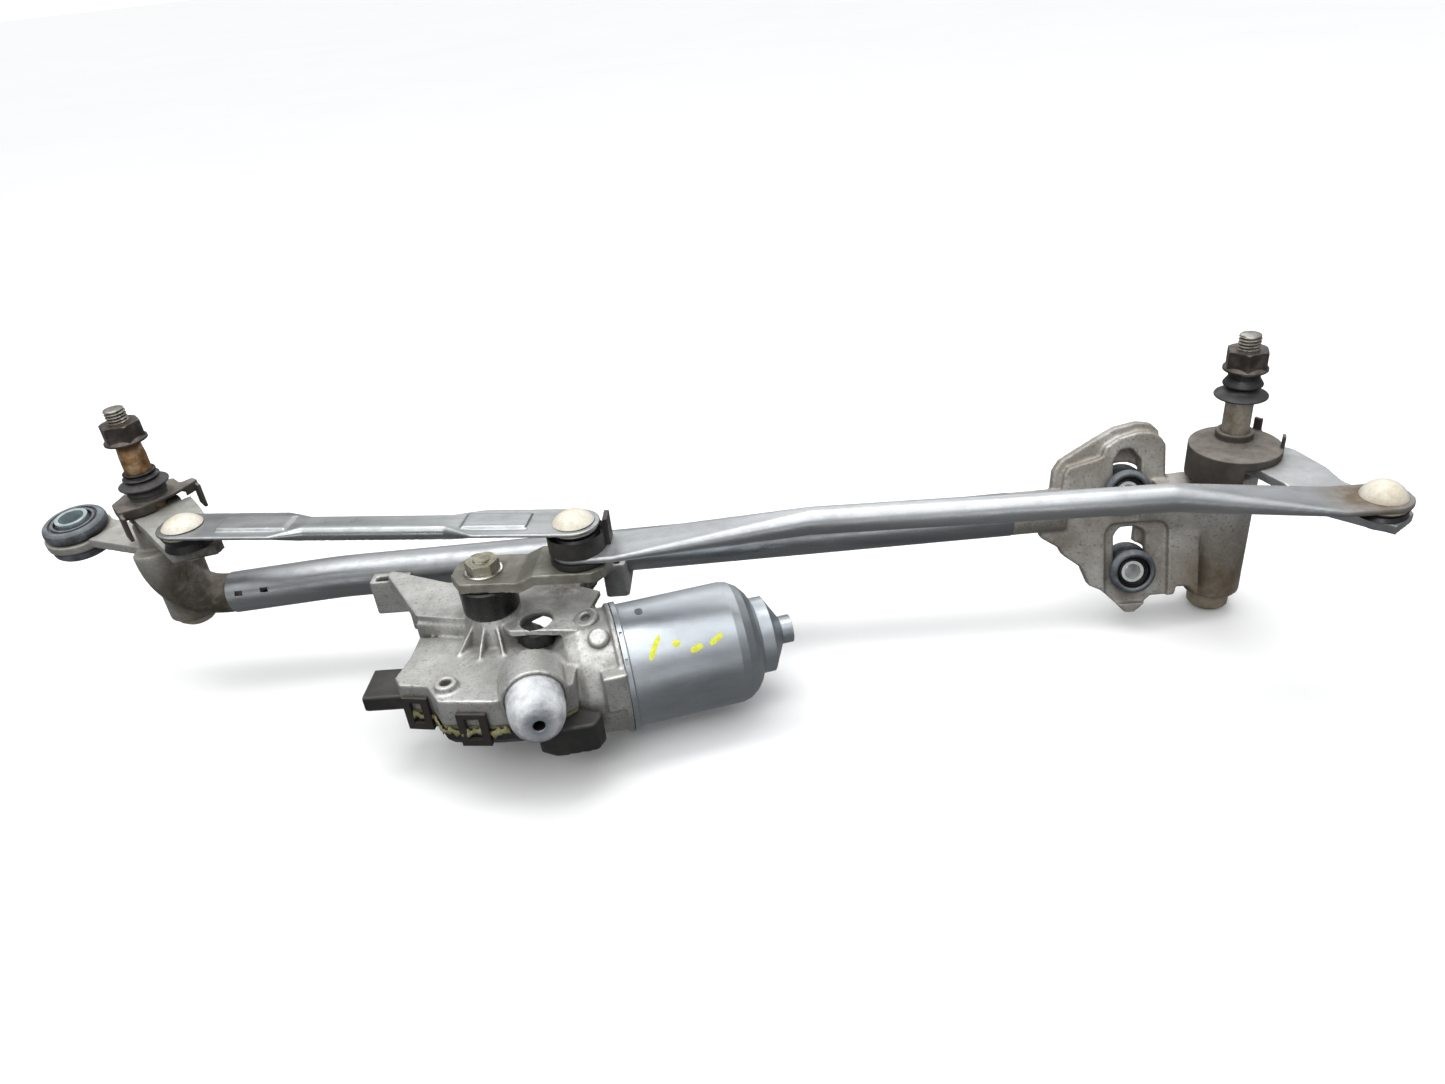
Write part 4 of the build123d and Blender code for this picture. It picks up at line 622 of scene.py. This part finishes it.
def make_spindle(side, x, top, foot):
    """Shaft with a cut thread above its nut, a cone under the nut and a circlip groove."""
    def depth(height, angle):
        return thread_depth(height - top, angle)

    thread = []
    for row in range(THREAD_ROWS - 1, 0, -1):
        chamfer = max(0.0, (row - CHAMFER_ROW) * 0.05)
        thread.append((THREAD_R - chamfer, top + row * THREAD_RISE / THREAD_ROWS))
    profile = [(0.0, top + THREAD_RISE), (4.3, top + THREAD_RISE), *thread, (4.7, top),
               (4.7, top - 11.0), (5.6, top - 11.0), (SHAFT_R, top - 18.0), (SHAFT_R, foot),
               (5.4, foot), (5.4, foot - 1.0), (SHAFT_R, foot - 1.0), (5.75, foot - 1.6),
               (0.0, foot - 1.6)]
    shaft = lathe(side + "_threaded_spindle", profile, frame_of((x, 0, 0), UPRIGHT), depth=depth,
                  sharp=85)
    stand_for(shaft, side + "_spindle")
    shaft.data.materials.append(MATERIALS["thread"])
    for face in shaft.data.polygons:
        if face.center.z > (top + 0.02) * MM:
            face.material_index = 1


# ------------------------------------------------------------ rubber pieces, as (radius, height)
LEFT_BOOT = [(6.27, -26.0), (7.3, -26.0), (8.0, -26.8), (7.2, -27.8), (7.2, -28.3), (9.0, -29.3),
             (7.9, -30.4), (7.9, -30.9), (12.0, -33.0), (11.6, -34.0), (8.4, -34.2), (8.2, -35.2),
             (9.2, -36.2), (9.4, -38.2), (6.27, -38.4)]
RIGHT_BOOT = [(6.27, -21.0), (7.0, -21.0), (7.1, -24.6), (7.6, -25.4), (9.0, -27.6), (8.9, -28.2),
              (7.4, -28.9), (7.3, -30.2), (8.2, -31.2), (12.0, -33.3), (12.0, -34.0), (8.4, -34.4),
              (7.4, -35.0), (7.3, -36.0), (6.27, -36.0)]
LEFT_GROMMET = [(8.22, 7.4), (9.3, 7.4), (9.5, 9.3), (11.0, 9.5), (11.4, 8.2), (12.0, 8.2),
                (12.4, 9.4), (14.2, 9.2), (15.6, 8.0), (16.0, 6.0), (15.6, 3.6), (14.6, 2.52),
                (11.96, 2.52), (11.96, -2.52), (15.2, -2.52), (16.0, -4.0), (15.7, -6.6),
                (14.4, -8.0), (9.4, -8.0), (8.22, -7.2)]
RIGHT_GROMMET = [(5.52, -7.0), (10.8, -7.0), (12.0, -5.8), (12.0, -2.2), (11.2, -1.02),
                 (8.46, -1.02), (8.46, 6.02), (10.6, 6.02), (11.5, 7.4), (11.2, 9.2), (9.8, 10.6),
                 (8.9, 10.6), (8.2, 9.8), (7.8, 7.4), (7.0, 7.4), (6.7, 8.3), (6.1, 8.3),
                 (5.9, 7.4), (5.52, 7.4)]
PLUG = [(0.0, 4.0), (2.3, 4.0), (2.3, 17.6), (2.9, 18.5), (5.5, 18.5), (8.4, 17.8), (10.6, 16.0),
        (11.9, 12.5), (12.5, 8.0), (12.7, 5.0), (12.5, 2.6), (12.2, 1.4), (12.9, -0.8),
        (12.88, -14.9), (0.0, -14.9)]


def make_boot(side, x, outline):
    """Bellows on a shaft, with painted shade in black in its folds."""
    boot = lathe(side + "_bellows", rounded(outline, 0.6), frame_of((x, 0, 0), UPRIGHT), sharp=60)
    stand_for(boot, side + "_shaft_boot")
    paint_shade_black(boot, (x, 0, 0), UPRIGHT, 8.1, -60)


def make_left_grommet():
    """Grommet of the left ring, with painted shade in black at its inner lip."""
    rubber = lathe("left_mount_rubber", rounded(LEFT_GROMMET, 0.5), frame_of(RING_CENTRE, RING_AXIS),
                   sharp=60)
    stand_for(rubber, "left_grommet")
    paint_shade_black(rubber, RING_CENTRE, RING_AXIS, 9.6, 7.0)


def make_right_grommet(level, across, rise):
    """Grommet of one hole in the right bracket, with painted shade in black inside its outer lip."""
    centre = Vector((BRACKET_X + across, 0, BRACKET_Z)) + BRACKET_UP * rise
    rubber = lathe(f"right_{level}_mount_rubber", rounded(RIGHT_GROMMET, 0.6),
                   frame_of(centre, BRACKET_OUT), sharp=60)
    stand_for(rubber, f"right_{level}_grommet")
    paint_shade_black(rubber, centre, BRACKET_OUT, 8.3, 6.5)


def make_plug():
    """Rubber plug on the gear case's hub, with painted shade in black in its hole."""
    plug = lathe("dusted_plug", rounded(PLUG, 0.8, 5), frame_of(HUB, MOTOR_FRONT), sharp=50)
    stand_for(plug, "rubber_mount")
    paint_shade_black(plug, HUB, MOTOR_FRONT, 2.6, 3.9)


make_spindle("left", LEFT_SHAFT_X, 0.0, -112.5)
make_spindle("right", RIGHT_SHAFT_X, -10.7, -143.0)
make_boot("left", LEFT_SHAFT_X, LEFT_BOOT)
make_boot("right", RIGHT_SHAFT_X, RIGHT_BOOT)
make_left_grommet()
for hole, (across, rise) in BRACKET_HOLES.items():
    make_right_grommet(hole, across, rise)
make_plug()

# ------------------------------------------------------------ castings and pressings
SOFTENED = (  # node, voxel in mm, rounds of smoothing
    ("gear_case", 0.7, 5), ("left_housing", 0.7, 5), ("right_housing", 0.7, 5),
    ("case_bottom_cover", 0.8, 3), ("left_lever_cover", 0.45, 4), ("right_lever_cover", 0.45, 4),
    ("right_link", 0.7, 6), ("left_link", 0.45, 14), ("crank_arm", 0.5, 3),
    ("left_lever", 0.5, 3), ("right_lever", 0.5, 3), ("case_sealant", 0.5, 2))
for softened_node, voxel, rounds in SOFTENED:
    soften(softened_node, voxel, rounds)

# ------------------------------------------------------------ small details on the pieces
SPOT = (65.0, 3.0)  # as on_yoke takes it
SPOT_PROFILE = [(0, 0.05), (1.6, 0.03), (2.5, -0.08), (2.7, -0.2), (2.6, -0.5), (0, -0.5)]
PAINT = (  # path of (s, angle) points as on_yoke takes them, and width
    ([(64.8, 54.5), (67.4, 45.0), (71.2, 34.0)], 2.4), ([(77.0, 47.5), (78.6, 42.0)], 3.4),
    ([(83.5, 54.5), (89.5, 51.0)], 2.8), ([(92.6, 52.5), (99.5, 45.0)], 2.6))
NUT_FLANGE = [(6.95, -65.0), (6.95, -63.72), (8.4, -63.72), (9.05, -64.1), (9.05, -65.0)]
BELL_LUG = [(2.2, -3.5), (2.2, 2.6), (3.2, 3.0), (4.9, 3.0), (5.8, 2.2), (6.2, -3.5)]
BELL_PAD = [(0, 2.6), (3.6, 2.6), (4.8, 1.6), (5.3, -3.0), (0, -3.0)]
SEALANT_PATH = [(143.2, -97.9), (154.8, -100.2), (163.2, -111.8), (176, -113.2), (187, -114.2),
                (193, -114.0)]
SEALANT_Z = -114.3
SEALANT_ROWS = 90


def on_yoke(s, angle, height=0.0):
    """Point on the yoke in metres: mm along the worm axis and degrees from its top to the front."""
    turned = radians(angle)
    reach = YOKE_R + height
    return (WORM_FOOT + s * WORM_DIR + reach * cos(turned) * UPRIGHT
            + reach * sin(turned) * MOTOR_FRONT) * MM


def paint_stroke(name, path, width):
    """Thin blob of paint along (s, angle) points on the yoke, thicker in its middle."""
    steps = 14
    lanes = 7
    verts = []
    for i in range(steps + 1):
        t = i / steps * (len(path) - 1)
        k = min(int(t), len(path) - 2)
        f = t - k
        (s_0, angle_0), (s_1, angle_1) = path[k], path[k + 1]
        s = s_0 * (1 - f) + s_1 * f
        angle = angle_0 * (1 - f) + angle_1 * f
        along = Vector((s_1 - s_0, (angle_1 - angle_0) * YOKE_DEGREE))
        across = Vector((-along.y, along.x)).normalized()
        taper = sqrt(max(0.05, 1 - abs(2 * i / steps - 1) ** 4)) * (1 + 0.22 * sin(i * 1.9))
        for lane in range(lanes):
            shift = (lane / (lanes - 1) - 0.5) * width * taper
            lift = 0.02 + 0.10 * (1 - abs(2 * lane / (lanes - 1) - 1) ** 2) * taper
            verts.append(on_yoke(s + across.x * shift, angle + across.y * shift / YOKE_DEGREE, lift))
    return mesh_object(name, verts, grid_faces(steps + 1, lanes))


def add_yoke_marks():
    """A few plain dabs of yellow paint and a dark pressed spot."""
    for number, (path, width) in enumerate(PAINT):
        add_detail(paint_stroke(f"paint_dab_{number}", path, width), "frame", "paint")
    centre = on_yoke(*SPOT)
    outward = (centre - (WORM_FOOT + SPOT[0] * WORM_DIR) * MM).normalized()
    spot = lathe("yoke_spot", SPOT_PROFILE, frame_of(centre / MM, outward), 40)
    add_detail(spot, "frame", "dark_spot")


def add_nut_flange():
    """Bright flange under the crank's nut."""
    flange = lathe("nut_flange", rounded(NUT_FLANGE, 0.3), frame_of(OUTPUT_SHAFT, UPRIGHT), 72, sharp=60)
    add_detail(flange, "crank", "flange")


def add_bell_lug():
    """Cast lug with a hole on top of the bell, and a plain pad in front of it."""
    place = frame_of((225.4, -69.5, -89.0), (-0.18, -0.30, 1.0))
    lug = lathe("bell_lug", rounded(BELL_LUG, 0.6), place, 64, sharp=60)
    add_detail(lug, "frame", "cast")
    place = frame_of((232.0, -82.6, -90.2), (0.05, -0.55, 0.85))
    pad = lathe("bell_pad", rounded(BELL_PAD, 0.8), place, 48, sharp=60)
    add_detail(pad, "frame", "cast")


def points_along(path, count):
    """Points at count even steps along straight stretches."""
    corners = [Vector(point) for point in path]
    lengths = [0.0]
    for here, after in zip(corners, corners[1:]):
        lengths.append(lengths[-1] + (after - here).length)
    points = []
    for i in range(count + 1):
        want = lengths[-1] * i / count
        k = max(j for j in range(len(path) - 1) if lengths[j] <= want + 1e-9)
        f = (want - lengths[k]) / (lengths[k + 1] - lengths[k])
        points.append(corners[k].lerp(corners[k + 1], f))
    return points


def add_sealant_lumps():
    """Sealant squeezed out under the clips, in uneven lumps along the case's front wall."""
    ring = 12
    verts = []
    for i, spot in enumerate(points_along(SEALANT_PATH, SEALANT_ROWS)):
        swell = 1.05 + 0.5 * sin(i * 0.41) * sin(i * 0.17 + 1) + 0.28 * sin(i * 1.37 + 2)
        drop = SEALANT_Z + 0.9 * sin(i * 0.31) + 0.4 * sin(i * 1.1)
        for j in range(ring):
            angle = 2 * pi * j / ring
            r = max(0.35, swell) * (1 + 0.16 * sin(3 * angle + i * 0.9))
            y = spot.y + r * 0.8 * cos(angle)
            verts.append(Vector((spot.x, y, drop + 1.5 * r * sin(angle))) * MM)
    faces = grid_faces(SEALANT_ROWS + 1, ring, close_columns=True)
    faces.append(tuple(range(ring))[::-1])
    faces.append(tuple(SEALANT_ROWS * ring + j for j in range(ring)))
    add_detail(mesh_object("sealant_lumps", verts, faces), "frame", "sealant")


def add_cap_crack():
    """Hairline crack from the middle of the white cap over the crank's pin towards the back."""
    steps = 10
    verts = []
    for i in range(steps + 1):
        t = i / steps
        away = Vector((0.25 * sin(t * 9) - 0.2, 0.4 + 6.2 * t, 0.0))
        away.z = CAP_TOP - 0.037 * (away.x ** 2 + away.y ** 2)
        half = 0.13 * (1 - 0.5 * t)
        for shift in (-half, half):
            verts.append((CRANK_PIN + away + Vector((shift, 0, 0))) * MM)
    crack = mesh_object("cap_crack", verts, grid_faces(steps + 1, 2), smooth=False)
    add_detail(crack, "left_link_bar", "clip")


add_yoke_marks()
add_nut_flange()
add_bell_lug()
add_sealant_lumps()
add_cap_crack()

# ------------------------------------------------------------ floor, lights and camera, in metres
MIDDLE_X = 0.27
AIM = (MIDDLE_X, 0, -0.1)
FLOOR_Z = cad_box[0][2] - 0.5 * MM
FLOOR_RINGS = [(0.0001, 0), (0.5, 0), (8, 0), (30, 0)]
BACKDROP_RINGS = [(29, -0.1), (31, 0.3), (33, 2), (34, 5), (34.5, 22)]
SENSOR_MM = 36.0
FOCAL_OVER_WIDTH = 0.7232526
CAMERA_PLACE = Vector((0.317233, -0.465120, 0.179941))
CAMERA_RIGHT = Vector((0.995624, 0.010177, -0.092899))
CAMERA_UP = Vector((0.074826, 0.508741, 0.857662))
SURROUND = (  # brightness from straight below, 0, over the horizon, 0.5, to straight above, 1
    (0.0, 0.18), (0.46, 0.20), (0.54, 0.34), (0.68, 0.30), (0.84, 0.92), (1.0, 0.96))
scene = bpy.context.scene


def turned_sheet(name, rings, material):
    """Open sheet of revolution round the object's middle, from (radius, height) in metres."""
    count = 96
    verts = []
    for radius, height in rings:
        for step in range(count):
            angle = 2 * pi * step / count
            verts.append((radius * cos(angle) + MIDDLE_X, radius * sin(angle), height + FLOOR_Z))
    faces = [face[::-1] for face in grid_faces(len(rings), count, close_columns=True)]
    sheet = mesh_object(name, verts, faces)
    sheet.visible_glossy = False
    sheet.visible_diffuse = False
    sheet.data.materials.append(material)
    return sheet


def make_floor():
    """Wide pale floor, and a white backdrop far behind it."""
    g = Graph("pale_floor")
    tone = g.ramp(g.noise(3.0), [(0.3, (0.92, 0.92, 0.92)), (0.7, (0.94, 0.94, 0.94))])
    g.feed(g.shader.inputs["Base Color"], tone)
    g.feed(g.shader.inputs["Roughness"], 0.7)
    turned_sheet("floor", FLOOR_RINGS, g.material)
    g = Graph("white_backdrop")
    g.feed(g.shader.inputs["Base Color"], (0, 0, 0))
    g.feed(g.shader.inputs["Emission Color"], (1, 1, 1))
    g.feed(g.shader.inputs["Emission Strength"], 1.0)
    backdrop = turned_sheet("backdrop", BACKDROP_RINGS, g.material)
    backdrop.visible_shadow = False


def add_lamp(name, kind, power):
    """New lamp in the scene."""
    data = bpy.data.lights.new(name, kind)
    data.energy = power
    return link_object(name, data)


def add_area_light(name, place, aim, size, power):
    """Rectangular studio light of a (width, height), aimed at a point."""
    lamp = add_lamp(name, "AREA", power)
    lamp.data.shape = "RECTANGLE"
    lamp.data.size, lamp.data.size_y = size
    lamp.location = place
    lamp.rotation_euler = (Vector(aim) - Vector(place)).to_track_quat("-Z", "Y").to_euler()


def add_sky_light():
    """Very wide soft light from above."""
    lamp = add_lamp("ceiling", "SUN", 1.1)
    lamp.data.angle = radians(70)
    lamp.rotation_euler = (radians(12), radians(-8), 0)


def make_camera():
    """Camera at the photo's viewpoint, matched to the linkage in the photo."""
    data = bpy.data.cameras.new("camera")
    data.sensor_width = SENSOR_MM
    data.lens = SENSOR_MM * FOCAL_OVER_WIDTH
    data.clip_start = 0.01
    camera = link_object("camera", data)
    back = CAMERA_RIGHT.cross(CAMERA_UP)
    turn = Matrix((CAMERA_RIGHT, CAMERA_UP, back)).transposed().to_4x4()
    camera.matrix_world = Matrix.Translation(CAMERA_PLACE) @ turn
    scene.camera = camera


def make_world():
    """Soft studio surround: bright overhead, dim near and under the horizon."""
    world = bpy.data.worlds.new("studio")
    world.use_nodes = True
    tree = world.node_tree
    place = tree.nodes.new("ShaderNodeTexCoord")
    split = tree.nodes.new("ShaderNodeSeparateXYZ")
    ramp = tree.nodes.new("ShaderNodeValToRGB")
    tree.links.new(place.outputs["Generated"], split.inputs[0])
    span = tree.nodes.new("ShaderNodeMapRange")
    span.inputs["From Min"].default_value = -1.0
    tree.links.new(split.outputs["Z"], span.inputs["Value"])
    tree.links.new(span.outputs["Result"], ramp.inputs["Fac"])
    while len(ramp.color_ramp.elements) < len(SURROUND):
        ramp.color_ramp.elements.new(0.5)
    for element, (position, level) in zip(ramp.color_ramp.elements, SURROUND):
        element.position = position
        element.color = (level * 0.98, level * 0.99, level, 1)
    background = tree.nodes["Background"]
    tree.links.new(ramp.outputs["Color"], background.inputs["Color"])
    background.inputs["Strength"].default_value = 1.0
    scene.world = world


make_floor()
add_area_light("overhead", (0.25, 0.10, 1.1), (MIDDLE_X, -0.02, -0.1), (1.4, 0.3), 6.0)
add_area_light("front", (0.0, -1.1, 1.0), AIM, (1.0, 0.4), 3.0)
add_area_light("fill", (0.1, -1.3, -0.02), AIM, (1.6, 0.3), 1.8)
add_area_light("back", (0.4, 1.2, 0.6), AIM, (1.5, 0.3), 3.0)
add_sky_light()
make_world()
scene.view_settings.view_transform = "Standard"
make_camera()
